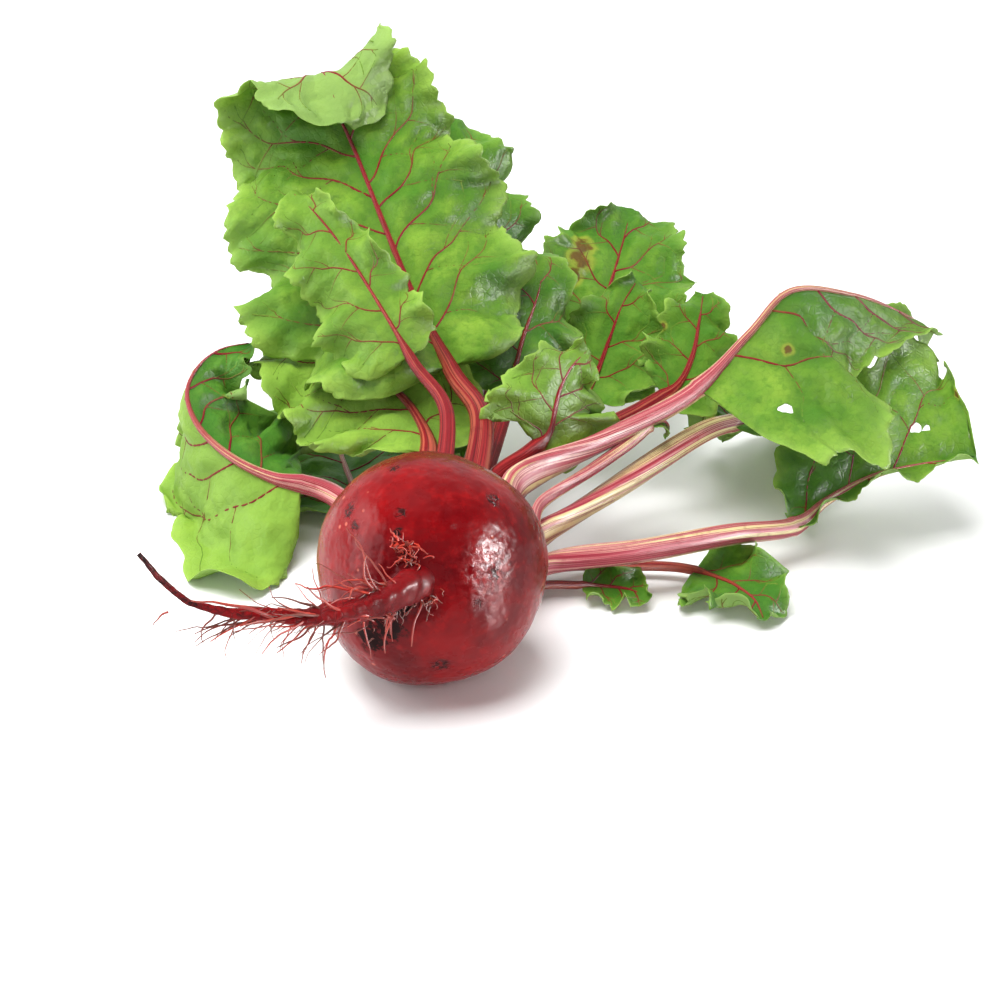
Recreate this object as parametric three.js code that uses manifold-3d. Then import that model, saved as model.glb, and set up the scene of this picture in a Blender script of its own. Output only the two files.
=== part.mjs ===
// A bunching beetroot with its tops, lying on its side. Millimetres, +Z up.
// The swollen root rests on a small flat spot, its tap root points at -Y and its leaves fan out towards +Y.
// The origin is the middle of that flat spot.
import * as THREE from "three";
import { mergeVertices } from "three/addons/utils/BufferGeometryUtils.js";
import Module from "manifold-3d";

const wasm = await Module();
wasm.setup();

// The root
const ROOT_RADIUS = 37.6;
const ROOT_FLATTENING = 0.94;
const ROOT_CENTRE = new THREE.Vector3(0, 0, 36.2);
const CROWN_DIRECTION = new THREE.Vector3(0.13, 0.93, -0.34).normalize();
const CROWN_RISE = 3.5;
const CROWN_REACH = 0.1;
const DIMPLE_DEPTH = 1.6;
const DIMPLE_REACH = 0.06;
const DIMPLE_MIDDLE = 0.01;
const SHOULDERS = 0.8;
const LUMPS = [0.9, 0.7, 0.5];
const ROOT_SIDES = 28;
const ROOT_RINGS = 20;

// The leaves
const BLADE_THICKNESS = 0.8;
const BLADE_ROWS = 14;
const BLADE_COLUMNS = 4;
const COLUMN_BIAS = 0.85;
const LEAST_BLADE = 1.6;
const LOBES = [{ height: 0.06, count: 4.3, phase: 1 }, { height: 0.045, count: 8.7, phase: 2 }];
const RUFFLE_RISE = 1.8;
const RUFFLE_START = 0.15;
const SMALL_RUFFLE = { height: 0.3, count: 1.7, phase: 2 };
const RIB_CLEARANCE = 0.75;
const SLIT_END = 0.8;
const RIB_TIP_RADIUS = 0.7;
const RIB_TAPER = 0.7;
const STALK_SIDES = 6;
const STALK_STEP = 12;
const STALK_SINK = 4;
const STALK_SPREAD = 1.35;
const STALK_STRAIGHT = 9;
const STALK_TAPER = 0.8;
const SHEATH = { widening: 0.25, length: 16 };
const FLATNESS_AT_CROWN = 0.55;
const FLATNESS_AT_BLADE = 0.9;
const GROOVE_DEPTH = 0.45;
const GROOVE_SHARPNESS = 3;
const JOINT_GAP = 0.35;
const FLOOR_SOFTNESS = 5;
const LINE_STEPS = 240;
const LENGTH_STEPS = 200;
const TENSION = 0.5;
const STRAIGHT = 1e-6;
const WELD = 1e-4;

// Every leaf. crown is where its stalk leaves the crown: millimetres to the right of and above the crown's
// middle. path runs on from there to the tip, and its blade starts at path point number bladeFrom. face says
// where the upper side looks at the blade's base, its middle and its tip; from path point number foldFrom on,
// the blade folds over without a twist. Left and right are as seen along the path with the upper side up.
// half is each half's width, early how near the base it is widest, and tip how pointed the blade ends. lift
// is the angle in degrees at which a half leaves the midrib, and curl how much further it turns before its
// margin, at the base, middle and tip. wave is the height, number and phases of the margin's waves, stalk the
// width of the stalk at the crown and at the blade, and layer the height of what the leaf lies on.
const LEAVES = [
  {
    name: "top",
    crown: [4, 12],
    path: [[16, 78, 50], [6, 101, 57], [-8, 131, 72], [-20, 159, 90], [-31, 184, 108], [-39, 199, 120],
      [-43.5, 206, 128], [-42, 198, 132], [-38, 187, 127], [-34.5, 177, 121]],
    bladeFrom: 1.1,
    foldFrom: 4,
    face: [[0, -0.6, 1], [-0.15, -0.75, 0.85], [-0.16, -0.63, 0.76]],
    half: [56, 43],
    early: 0.62,
    tip: 0.4,
    lift: { left: [25, 8, 0], right: [15, 5, -14] },
    curl: { left: [-60, -30, -15], right: [-45, -25, 0] },
    wave: { height: 8, count: 3.9, phase: [0.1, 0.45] },
    stalk: [11, 6],
    layer: 20,
  },
  {
    name: "left_high",
    crown: [-3, 15],
    path: [[4, 77, 54], [-7, 93, 64], [-16, 103, 76], [-31, 122, 93], [-43, 136, 103], [-52, 148, 106]],
    bladeFrom: 1.2,
    face: [[-0.1, -0.7, 0.7], [-0.3, -0.7, 0.7], [-0.3, -0.6, 0.8]],
    half: [25, 13],
    early: 0.5,
    tip: 0.5,
    lift: { left: [0, 0, 0], right: [0, 0, 0] },
    curl: { left: [-40, -30, -20], right: [-20, -10, 0] },
    wave: { height: 5, count: 3.2, phase: [0.3, 0.7] },
    stalk: [7.5, 3.8],
    layer: 30,
  },
  {
    name: "back",
    crown: [-3, 5],
    path: [[10, 76, 27], [17, 105, 36], [20, 132, 46], [18, 161, 64], [12, 188, 84], [7, 208, 98],
      [0, 220, 108]],
    bladeFrom: 2,
    face: [[0, -0.5, 1], [0.1, -0.7, 0.8], [0.1, -0.7, 0.8]],
    half: [30, 25],
    early: 0.62,
    tip: 0.45,
    lift: { left: [5, 0, 0], right: [0, -5, -5] },
    curl: { left: [-20, -20, -20], right: [-25, -20, -20] },
    wave: { height: 6, count: 4.2, phase: [0.3, 0.75] },
    stalk: [8, 6],
    layer: 12,
  },
  {
    name: "centre",
    crown: [3, 4],
    path: [[19, 82, 34], [25, 108, 42], [28, 122, 50], [31, 133, 57], [35, 142, 65], [37, 149, 72],
      [34, 156, 80]],
    bladeFrom: 1.2,
    face: [[0, -0.9, 0.6], [0.1, -0.9, 0.5], [0.1, -0.6, 0.8]],
    half: [20, 20],
    early: 0.62,
    tip: 0.5,
    lift: { left: [0, 0, 0], right: [0, 0, 0] },
    curl: { left: [-20, -20, -20], right: [-20, -30, -30] },
    wave: { height: 4, count: 3.1, phase: [0.2, 0.65] },
    stalk: [7, 5],
    layer: 14,
  },
  {
    name: "left_mid",
    crown: [-10, 9],
    path: [[-2, 78, 38], [-8, 98, 44], [-19, 112, 49], [-32, 126, 52], [-46, 142, 52], [-58, 158, 48]],
    bladeFrom: 0,
    face: [[0.1, -0.6, 1], [0.2, -0.6, 1], [0, 0, 1]],
    half: [40, 24],
    early: 0.62,
    tip: 0.5,
    lift: { left: [-5, -2, -5], right: [-5, -10, -10] },
    curl: { left: [-10, -15, -20], right: [0, 10, -10] },
    wave: { height: 7, count: 3.6, phase: [0.6, 0.2] },
    stalk: [10, 7],
    layer: 34,
  },
  {
    name: "left_fold",
    crown: [-15, -1],
    path: [[-36, 77, 22], [-56, 81, 26], [-71, 87, 31], [-83, 98, 37], [-88, 108, 45], [-85, 118, 51],
      [-77, 125, 55], [-65, 131, 55]],
    bladeFrom: 0.5,
    face: [[-0.1, -0.4, 1], [-0.3, -0.6, 1], [0, -0.3, 1]],
    half: [70, 34],
    early: 0.42,
    tip: 0.6,
    lift: { left: [-20, -62, -72], right: [-32, -38, -25] },
    curl: { left: [-20, -10, -10], right: [0, 5, 20] },
    wave: { height: 8, count: 3, phase: [0, 0.5] },
    stalk: [10, 7],
    layer: 0.6,
  },
  {
    name: "centre_back",
    crown: [1, -8],
    path: [[20, 75, 16], [38, 119, 22], [52, 154, 34], [62, 184, 48], [69, 208, 60], [73, 226, 68]],
    bladeFrom: 1.5,
    face: [[0, -0.4, 1], [-0.1, -0.6, 1], [-0.1, -0.3, 1]],
    half: [34, 36],
    early: 0.62,
    tip: 0.45,
    lift: { left: [10, 10, 10], right: [8, 6, 5] },
    curl: { left: [10, 20, 20], right: [0, 0, -20] },
    wave: { height: 6, count: 3.8, phase: [0.7, 0.15] },
    stalk: [8, 6],
    layer: 3,
  },
  {
    name: "curl",
    crown: [8, -2],
    path: [[26, 76, 21], [44, 106, 30], [56, 132, 39], [62, 147, 48], [67, 158, 57], [73, 168, 63]],
    bladeFrom: 1.6,
    face: [[0, -0.7, 0.7], [0.1, -0.8, 0.6], [0.3, -0.6, 0.8]],
    half: [18, 22],
    early: 0.62,
    tip: 0.5,
    lift: { left: [0, 0, 0], right: [0, 0, 10] },
    curl: { left: [20, -30, -20], right: [20, 40, 30] },
    wave: { height: 5, count: 2.6, phase: [0.55, 0.05] },
    stalk: [7, 5],
    layer: 12,
  },
  {
    name: "right_back",
    crown: [10, 3],
    path: [[32, 72, 31], [54, 98, 34], [72, 110, 38], [85, 115, 45], [91, 124, 53], [94, 137, 61],
      [96, 149, 66]],
    bladeFrom: 2.6,
    face: [[0, -0.6, 1], [0.1, -0.9, 0.5], [0.1, -0.6, 0.8]],
    half: [17, 17],
    early: 0.62,
    tip: 0.45,
    lift: { left: [0, 0, 0], right: [0, 0, 0] },
    curl: { left: [-10, -30, -20], right: [-10, -20, -20] },
    wave: { height: 4, count: 2.8, phase: [0.2, 0.6] },
    stalk: [8, 6],
    layer: 10,
  },
  {
    name: "front",
    crown: [7, 9],
    path: [[21, 62, 36], [32, 74, 39], [39, 79, 44], [41, 80, 52], [43, 84, 59], [47, 89, 65],
      [53, 95, 69]],
    bladeFrom: 1.4,
    face: [[0.4, -0.8, 0.3], [0.26, -0.87, 0.2], [0.3, -0.5, 0.8]],
    half: [24, 24],
    early: 0.42,
    tip: 0.6,
    lift: { left: [0, 0, 0], right: [0, 0, -10] },
    curl: { left: [-20, -30, -20], right: [-20, -40, -30] },
    wave: { height: 4, count: 3.4, phase: [0.85, 0.3] },
    stalk: [8, 6],
    layer: 30,
  },
  {
    name: "right_high",
    crown: [14, 8],
    path: [[28, 55, 38], [57, 78, 42], [89, 97, 51], [109, 105, 70], [123, 108, 85], [145, 114, 81],
      [163, 122, 71], [178, 131, 59]],
    bladeFrom: 2.1,
    face: [[-0.6, 0.2, 1], [0.2, 0, 1], [0.3, 0, 1]],
    half: [12, 64],
    early: 0.42,
    tip: 1.15,
    lift: { left: [-40, -50, -40], right: [-38, -55, -45] },
    curl: { left: [-20, -10, 0], right: [5, 5, 5] },
    wave: { height: 5, count: 2.3, phase: [0.4, 0.15] },
    stalk: [12, 7],
    layer: 12,
  },
  {
    name: "right_mid",
    crown: [16, -1],
    path: [[39, 54, 21], [64, 73, 28], [94, 101, 34], [112, 117, 30], [126, 144, 16], [134, 170, 6]],
    bladeFrom: 2.5,
    face: [[0, -0.2, 1], [0, 0, 1], [0, 0, 1]],
    half: [30, 22],
    early: 0.62,
    tip: 0.6,
    lift: { left: [0, 0, 0], right: [10, -10, -10] },
    curl: { left: [-20, -20, -20], right: [-20, -10, 0] },
    wave: { height: 6, count: 3.4, phase: [0.5, 0.05] },
    stalk: [11, 7],
    layer: 0.6,
  },
  {
    name: "right_low",
    crown: [13, -10],
    path: [[39, 45, 13], [70, 46, 17], [101, 57, 17], [124, 70, 13], [136, 79, 18], [152, 84, 25],
      [170, 86, 29], [188, 85, 32]],
    bladeFrom: 3,
    face: [[-0.2, 0, 1], [0, -0.1, 1], [0, 0, 1]],
    half: [46, 7],
    early: 2,
    tip: 0.32,
    lift: { left: [30, 40, 40], right: [10, 10, 10] },
    curl: { left: [0, 0, -10], right: [0, 0, 0] },
    wave: { height: 3, count: 3, phase: [0.15, 0.65] },
    stalk: [12, 7],
    layer: 0.6,
  },
  {
    name: "young",
    crown: [4.5, -14],
    path: [[40, 54, 5], [62, 57, 4.5], [84, 56, 4.5], [98, 47, 5], [104, 38, 6], [108, 30, 6],
      [110, 21, 4]],
    bladeFrom: 2.3,
    face: [[0, -0.2, 1], [0.2, -0.5, 1], [0.4, -0.4, 1]],
    half: [17, 22],
    early: 0.62,
    tip: 0.5,
    lift: { left: [0, 0, 0], right: [0, -10, -10] },
    curl: { left: [10, 30, 30], right: [10, 50, 40] },
    wave: { height: 5, count: 3, phase: [0.1, 0.55] },
    stalk: [5, 3.6],
    layer: 0.6,
  },
  {
    name: "bud",
    crown: [9, -15],
    path: [[34, 42, 5], [48, 44, 4.5], [58, 43, 4.5], [66, 40, 5], [73, 35, 4]],
    bladeFrom: 1.2,
    face: [[0, -0.4, 1], [0.2, -0.6, 0.8], [0.3, -0.5, 0.8]],
    half: [9, 11],
    early: 0.55,
    tip: 0.5,
    lift: { left: [0, 0, 0], right: [0, -10, -10] },
    curl: { left: [20, 40, 40], right: [20, 50, 40] },
    wave: { height: 3, count: 2.1, phase: [0.3, 0.8] },
    stalk: [4, 3],
    layer: 0.6,
  },
  {
    name: "hook",
    crown: [20, 4],
    path: [[36, 53, 31], [54, 69, 36], [67, 81, 40], [74, 87, 43.5], [78.5, 90.5, 43.5],
      [81, 92.5, 40.5], [81, 93, 37]],
    bladeFrom: 3,
    face: [[-0.4, 0.2, 1], [0, -0.2, 1], [0.8, 0, 0.6]],
    half: [6, 6],
    early: 0.55,
    tip: 0.5,
    lift: { left: [-10, -20, -20], right: [-10, -20, -20] },
    curl: { left: [0, 0, 0], right: [0, 0, 0] },
    wave: { height: 0.5, count: 2.1, phase: [0.3, 0.8] },
    stalk: [7, 5],
    layer: 0.6,
  },
  {
    name: "floor",
    crown: [-8, -12],
    path: [[-18, 70, 7], [-28, 104, 5], [-36, 138, 5], [-42, 170, 6], [-44, 200, 5]],
    bladeFrom: 0.6,
    face: [[0, -0.1, 1], [0, 0, 1], [0, 0, 1]],
    half: [32, 44],
    early: 0.62,
    tip: 0.6,
    lift: { left: [5, 5, 0], right: [15, 5, 0] },
    curl: { left: [0, -10, -10], right: [10, -10, -10] },
    wave: { height: 6, count: 3.7, phase: [0.35, 0.9] },
    stalk: [9, 6],
    layer: 0.6,
  },
];

// The tap root from inside the swollen root to its tip, and its radius along the way
const TAP_PATH = [[1, -22, 44], [-5, -34, 49], [-14, -42, 48], [-26, -46, 46], [-38, -47, 45], [-50, -48, 47],
  [-62, -48, 48], [-72, -47, 51], [-80, -46, 58], [-86, -45, 66]];
const TAP_RADII = [7, 5.2, 4, 3.4, 2.6, 1.8, 1.3, 1, 0.9, 0.7];
const TAP_STEPS = 22;
const TAP_ACROSS = new THREE.Vector3(0.3, 0.2, 1);
const TAP_SIDES = 8;

// The side roots
const ROOTLETS = 16;
const ROOTLET_RADIUS = 0.75;
const ROOTLET_SIDES = 4;
const ROOTLET_STEPS = 3;
const ROOTLET_TIP = 0.45;
const ROOTLET_SINK = 3;
const ROOTLET_RISE = [1.5, 4, 3.5];
const ROOTLET_LENGTH = [8, 20];
const ROOTLET_SPREAD = { least: 0.16, more: 0.5, bias: 1.3 };
const ROOTLET_ROW = { turn: 78, from: 20, spread: 50 };
const ROOTLET_HEADING = new THREE.Vector3(-0.6, -0.2, -0.75);
const SEED = 7;
const RANDOM_FACTOR = 16807;
const RANDOM_RANGE = 2147483647;

const UP = new THREE.Vector3(0, 0, 1);
const vector = (xyz) => new THREE.Vector3(...xyz);
const radians = THREE.MathUtils.degToRad;
const { lerp, clamp, smoothstep } = THREE.MathUtils;
const turns = (count) => Math.sin(2 * Math.PI * count);

// The value at a share from 0 to 1 of a list of numbers spread evenly over it.
function along(list, share) {
  const place = clamp(share, 0, 1) * (list.length - 1);
  const before = Math.min(Math.floor(place), list.length - 2);
  return lerp(list[before], list[before + 1], smoothstep(place - before, 0, 1));
}

function seeded(seed) {
  let state = seed;
  return () => {
    state = (state * RANDOM_FACTOR) % RANDOM_RANGE;
    return state / RANDOM_RANGE;
  };
}

const smoothCurve = (points) => new THREE.CatmullRomCurve3(points, false, "catmullrom", TENSION);

function geometryOf(points, triangles) {
  const geometry = new THREE.BufferGeometry().setFromPoints(points);
  geometry.setIndex(triangles);
  return geometry;
}

function solidOf(geometry) {
  const bare = geometry.clone();
  bare.deleteAttribute("normal");
  bare.deleteAttribute("uv");
  const merged = mergeVertices(bare, WELD);
  return new wasm.Manifold(new wasm.Mesh({
    numProp: 3,
    vertProperties: new Float32Array(merged.attributes.position.array),
    triVerts: new Uint32Array(merged.index.array),
  }));
}

function geometryOfSolid(solid) {
  const mesh = solid.getMesh();
  const geometry = new THREE.BufferGeometry();
  geometry.setAttribute("position", new THREE.BufferAttribute(new Float32Array(mesh.vertProperties), 3));
  geometry.setIndex(new THREE.BufferAttribute(new Uint32Array(mesh.triVerts), 1));
  return geometry;
}

// A closed solid through rings of points that all turn the same way, with a flat cap at each end.
function loft(rings) {
  const sides = rings[0].length;
  const points = rings.flat();
  const triangles = [];
  for (let ring = 0; ring + 1 < rings.length; ring++) {
    for (let side = 0; side < sides; side++) {
      const a = ring * sides + side;
      const b = ring * sides + ((side + 1) % sides);
      triangles.push(a, b, b + sides, a, b + sides, a + sides);
    }
  }
  const last = (rings.length - 1) * sides;
  for (let side = 1; side + 1 < sides; side++) {
    triangles.push(0, side + 1, side, last, last + side, last + side + 1);
  }
  return geometryOf(points, triangles);
}

// A closed solid of even thickness round a mid surface, with a wall along its every open edge.
function thicken(points, triangles, thickness) {
  const surface = geometryOf(points, triangles);
  surface.computeVertexNormals();
  const normals = points.map((_, i) => new THREE.Vector3().fromBufferAttribute(surface.attributes.normal, i));
  const shift = (sign) => points.map((p, i) => p.clone().addScaledVector(normals[i], (sign * thickness) / 2));
  const below = points.length;
  const closed = [...triangles];
  const edges = new Set();
  for (let i = 0; i < triangles.length; i += 3) {
    const [a, b, c] = triangles.slice(i, i + 3);
    closed.push(c + below, b + below, a + below);
    for (const [from, to] of [[a, b], [b, c], [c, a]]) edges.add(`${from} ${to}`);
  }
  for (const edge of edges) {
    const [from, to] = edge.split(" ").map(Number);
    if (edges.has(`${to} ${from}`)) continue;
    closed.push(to, from, from + below, to, from + below, to + below);
  }
  return geometryOf([...shift(1), ...shift(-1)], closed);
}

// The crown's own directions: right of it, above it and out of it.
const CROWN_OUT = CROWN_DIRECTION;
const CROWN_RIGHT = new THREE.Vector3().crossVectors(CROWN_OUT, UP).normalize();
const CROWN_ABOVE = new THREE.Vector3().crossVectors(CROWN_RIGHT, CROWN_OUT);

function crownPoint(right, above, out) {
  return ROOT_CENTRE.clone()
    .addScaledVector(CROWN_RIGHT, right)
    .addScaledVector(CROWN_ABOVE, above)
    .addScaledVector(CROWN_OUT, out);
}

// The distance from the swollen root's centre to its skin in a direction.
function rootRadius(direction) {
  const out = direction.dot(CROWN_OUT);
  const right = direction.dot(CROWN_RIGHT);
  const above = direction.dot(CROWN_ABOVE);
  const globe = ROOT_RADIUS / Math.sqrt(right * right + above * above + (out / ROOT_FLATTENING) ** 2);
  const crown = CROWN_RISE * Math.exp(-((1 - out) / CROWN_REACH));
  const fromTap = 1 + out;
  const dimple = -DIMPLE_DEPTH * Math.exp(-fromTap / DIMPLE_REACH) * (1 - Math.exp(-fromTap / DIMPLE_MIDDLE));
  const lumps = LUMPS[0] * Math.sin(3.1 * right + 1.2) * Math.cos(2.3 * above - 0.4)
    + LUMPS[1] * Math.sin(4.2 * above + 2.6 * out) + LUMPS[2] * Math.cos(5.3 * right - 2.1 * out + 0.8);
  const shoulders = SHOULDERS * (right ** 2 - above ** 2) * out;
  return globe + crown + dimple + lumps + shoulders;
}

function swollenRoot() {
  const ball = new THREE.SphereGeometry(1, ROOT_SIDES, ROOT_RINGS);
  ball.applyQuaternion(new THREE.Quaternion().setFromUnitVectors(new THREE.Vector3(0, 1, 0), CROWN_OUT));
  const position = ball.attributes.position;
  for (let i = 0; i < position.count; i++) {
    const direction = new THREE.Vector3().fromBufferAttribute(position, i).normalize();
    const skin = ROOT_CENTRE.clone().addScaledVector(direction, rootRadius(direction));
    position.setXYZ(i, skin.x, skin.y, Math.max(skin.z, 0));
  }
  return solidOf(ball);
}

// A tapering round tube through points, with a radius that follows a list.
function taperingTube(points, radii, steps, sides) {
  const curve = smoothCurve(points);
  const rings = [];
  let across = TAP_ACROSS;
  for (let step = 0; step <= steps; step++) {
    const middle = curve.getPoint(step / steps);
    const tangent = curve.getTangent(step / steps);
    across = across.clone().addScaledVector(tangent, -across.dot(tangent)).normalize();
    const other = new THREE.Vector3().crossVectors(tangent, across);
    const radius = along(radii, step / steps);
    const ring = [];
    for (let side = 0; side < sides; side++) {
      const angle = (2 * Math.PI * side) / sides;
      ring.push(middle.clone()
        .addScaledVector(across, radius * Math.cos(angle))
        .addScaledVector(other, radius * Math.sin(angle)));
    }
    rings.push(ring);
  }
  return solidOf(loft(rings));
}

// Thin side roots, in two rows beside the tap root and in a tuft round its neck.
function rootlets() {
  const random = seeded(SEED);
  const made = [];
  for (let i = 0; i < ROOTLETS; i++) {
    const row = i % 2 ? 1 : -1;
    const spread = ROOTLET_SPREAD.least + ROOTLET_SPREAD.more * random() ** ROOTLET_SPREAD.bias;
    const turn = radians(row * ROOTLET_ROW.turn + ROOTLET_ROW.from + ROOTLET_ROW.spread * (random() - 0.5));
    const direction = CROWN_OUT.clone().multiplyScalar(-Math.cos(spread))
      .addScaledVector(CROWN_RIGHT, Math.sin(spread) * Math.cos(turn))
      .addScaledVector(CROWN_ABOVE, Math.sin(spread) * Math.sin(turn));
    const skin = ROOT_CENTRE.clone().addScaledVector(direction, rootRadius(direction));
    const sideways = new THREE.Vector3(random(), 0, random()).add(ROOTLET_HEADING).normalize();
    const length = lerp(...ROOTLET_LENGTH, random());
    const [near, middle, far] = ROOTLET_RISE;
    const points = [
      skin.clone().addScaledVector(direction, -ROOTLET_SINK),
      skin.clone().addScaledVector(direction, near),
      skin.clone().addScaledVector(direction, middle).addScaledVector(sideways, length / 2),
      skin.clone().addScaledVector(direction, far).addScaledVector(sideways, length),
    ];
    const radii = [ROOTLET_RADIUS, ROOTLET_RADIUS, ROOTLET_TIP];
    made.push(taperingTube(points, radii, ROOTLET_STEPS, ROOTLET_SIDES));
  }
  return made;
}

// The line that a leaf follows: where it is, where it heads, and which way its upper and right sides face.
function leafLine(leaf) {
  const [right, above] = leaf.crown;
  const start = crownPoint(right, above, ROOT_RADIUS * ROOT_FLATTENING - STALK_SINK);
  const straight = ROOT_RADIUS * ROOT_FLATTENING + STALK_STRAIGHT;
  const leaving = crownPoint(right * STALK_SPREAD, above * STALK_SPREAD, straight);
  const beforePath = [start, leaving];
  const points = [...beforePath, ...leaf.path.map(vector)];
  const curve = smoothCurve(points);
  const length = curve.getLength();
  const lengths = curve.getLengths(LENGTH_STEPS);
  const distanceTo = (pathPoint) => {
    const share = (pathPoint + beforePath.length) / (points.length - 1);
    return lengths[Math.round(share * LENGTH_STEPS)];
  };
  const base = distanceTo(leaf.bladeFrom);
  const fold = leaf.foldFrom ? distanceTo(leaf.foldFrom) : length;
  const faces = leaf.face.map((xyz) => vector(xyz).normalize());
  const fromAxis = crownPoint(right, above, 0).sub(ROOT_CENTRE).normalize();
  faces.unshift(fromAxis.multiplyScalar(fromAxis.dot(faces[0]) < 0 ? -1 : 1));
  const places = [];
  for (let i = 0; i <= LINE_STEPS; i++) {
    const distance = (length * i) / LINE_STEPS;
    const middle = curve.getPointAt(i / LINE_STEPS);
    const tangent = curve.getTangentAt(i / LINE_STEPS);
    const onBlade = distance > base ? 1 + (2 * (distance - base)) / (length - base) : distance / base;
    const share = onBlade / (faces.length - 1);
    const facing = vector(["x", "y", "z"].map((axis) => along(faces.map((face) => face[axis]), share)));
    const up = distance > fold ? places[i - 1].up.clone() : facing;
    up.addScaledVector(tangent, -up.dot(tangent)).normalize();
    places.push({ middle, tangent, up });
  }
  const at = (distance) => {
    const place = clamp(distance / length, 0, 1) * LINE_STEPS;
    const before = Math.min(Math.floor(place), LINE_STEPS - 1);
    const between = (what) => places[before][what].clone().lerp(places[before + 1][what], place - before);
    const tangent = between("tangent").normalize();
    const up = between("up").addScaledVector(tangent, -between("up").dot(tangent)).normalize();
    return { middle: between("middle"), tangent, up, right: new THREE.Vector3().crossVectors(tangent, up) };
  };
  return { length, base, at };
}

function ribRadius(leaf, share) {
  const tapered = Math.min(1, share / SLIT_END) ** RIB_TAPER;
  return lerp(leaf.stalk[1] / 2, RIB_TIP_RADIUS, tapered);
}

// How wide a half blade is at a share of its length, with shallow lobes in its margin.
function halfWidth(leaf, side, share) {
  const outline = Math.max(0, Math.sin(Math.PI * share ** leaf.early)) ** leaf.tip;
  const phase = leaf.wave.phase[side];
  let lobes = 1;
  for (const lobe of LOBES) lobes += lobe.height * turns(lobe.count * share + lobe.phase * phase);
  return Math.max(leaf.half[side] * outline * lobes, ribRadius(leaf, share) + RIB_CLEARANCE + LEAST_BLADE);
}

// Presses a point down softly onto the surface that the leaf lies on.
function rest(point, layer) {
  const top = layer + FLOOR_SOFTNESS;
  if (point.z < top) point.z = layer + FLOOR_SOFTNESS * Math.exp((point.z - top) / FLOOR_SOFTNESS);
  return point;
}

// The point of a blade's mid surface at a share of its length, on side 0 (left) or 1, reach from its midrib.
function bladePoint(leaf, line, side, share, reach) {
  const { middle, up, right } = line.at(lerp(line.base, line.length, share));
  const width = halfWidth(leaf, side, share);
  const which = side ? "right" : "left";
  const outwards = right.multiplyScalar(side ? 1 : -1);
  const lift = radians(along(leaf.lift[which], share));
  const bend = radians(along(leaf.curl[which], share)) / width;
  const straight = Math.abs(bend) < STRAIGHT;
  const away = straight ? reach * Math.cos(lift) : (Math.sin(lift + bend * reach) - Math.sin(lift)) / bend;
  const raised = straight ? reach * Math.sin(lift) : (Math.cos(lift) - Math.cos(lift + bend * reach)) / bend;
  const angle = lift + bend * reach;
  const { height, count, phase } = leaf.wave;
  const small = turns(SMALL_RUFFLE.count * count * share + SMALL_RUFFLE.phase * phase[side]);
  const ripple = turns(count * share + phase[side]) + SMALL_RUFFLE.height * small;
  const ruffle = height * (reach / width) ** RUFFLE_RISE * ripple * smoothstep(share, 0, RUFFLE_START);
  const point = middle.addScaledVector(outwards, away - ruffle * Math.sin(angle))
    .addScaledVector(up, raised + ruffle * Math.cos(angle));
  return rest(point, leaf.layer);
}

// The green blade, slit along the midrib as far as the midrib shows.
function blade(leaf, line) {
  const points = [];
  const number = [[], []];
  const slitRow = Math.ceil(SLIT_END * BLADE_ROWS);
  for (let row = 0; row <= BLADE_ROWS; row++) {
    const share = row / BLADE_ROWS;
    for (const side of [0, 1]) {
      const inner = row < slitRow ? ribRadius(leaf, share) + RIB_CLEARANCE : 0;
      const outer = halfWidth(leaf, side, share);
      number[side][row] = [];
      for (let column = 0; column <= BLADE_COLUMNS; column++) {
        if (side === 1 && column === 0 && row >= slitRow) {
          number[1][row][0] = number[0][row][0];
          continue;
        }
        const reach = lerp(inner, outer, (column / BLADE_COLUMNS) ** COLUMN_BIAS);
        number[side][row][column] = points.length;
        points.push(bladePoint(leaf, line, side, share, reach));
      }
    }
  }
  const triangles = [];
  for (const side of [0, 1]) {
    for (let row = 0; row < BLADE_ROWS; row++) {
      for (let column = 0; column < BLADE_COLUMNS; column++) {
        const a = number[side][row][column];
        const b = number[side][row][column + 1];
        const c = number[side][row + 1][column + 1];
        const d = number[side][row + 1][column];
        if (side) triangles.push(a, b, c, a, c, d);
        else triangles.push(b, a, c, c, a, d);
      }
    }
  }
  return thicken(points, triangles, BLADE_THICKNESS);
}

// The section of a stalk: round below, with a shallow groove on its upper side.
function stalkRing(place, halfAcross, halfHigh, groove) {
  const ring = [];
  for (let side = 0; side < STALK_SIDES; side++) {
    const angle = (2 * Math.PI * side) / STALK_SIDES;
    const high = Math.sin(angle);
    const dip = groove * Math.max(0, high) ** GROOVE_SHARPNESS;
    ring.push(place.middle.clone()
      .addScaledVector(place.right, halfAcross * Math.cos(angle))
      .addScaledVector(place.up, halfHigh * high - dip));
  }
  return ring.reverse();
}

// The stalk with the midrib that it runs on into. With spread, it is that much thicker all round.
function stalk(leaf, line, spread = 0) {
  const rings = [];
  const steps = Math.ceil(line.base / STALK_STEP);
  for (let step = 0; step < steps; step++) {
    const share = step / steps;
    const sheath = 1 + SHEATH.widening * (1 - smoothstep(share * line.base, 0, SHEATH.length));
    const halfAcross = (lerp(...leaf.stalk, share ** STALK_TAPER) / 2) * sheath;
    const halfHigh = halfAcross * lerp(FLATNESS_AT_CROWN, FLATNESS_AT_BLADE, share);
    const groove = halfHigh * GROOVE_DEPTH * (1 - share);
    rings.push(stalkRing(line.at(share * line.base), halfAcross + spread, halfHigh + spread, groove));
  }
  const slitRow = Math.ceil(SLIT_END * BLADE_ROWS);
  for (let row = 0; row < slitRow; row++) {
    const share = row / BLADE_ROWS;
    const radius = ribRadius(leaf, share) + spread;
    const place = line.at(lerp(line.base, line.length, share));
    rings.push(stalkRing(place, radius, radius, 0).map((p) => rest(p, leaf.layer)));
  }
  return loft(rings);
}

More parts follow.
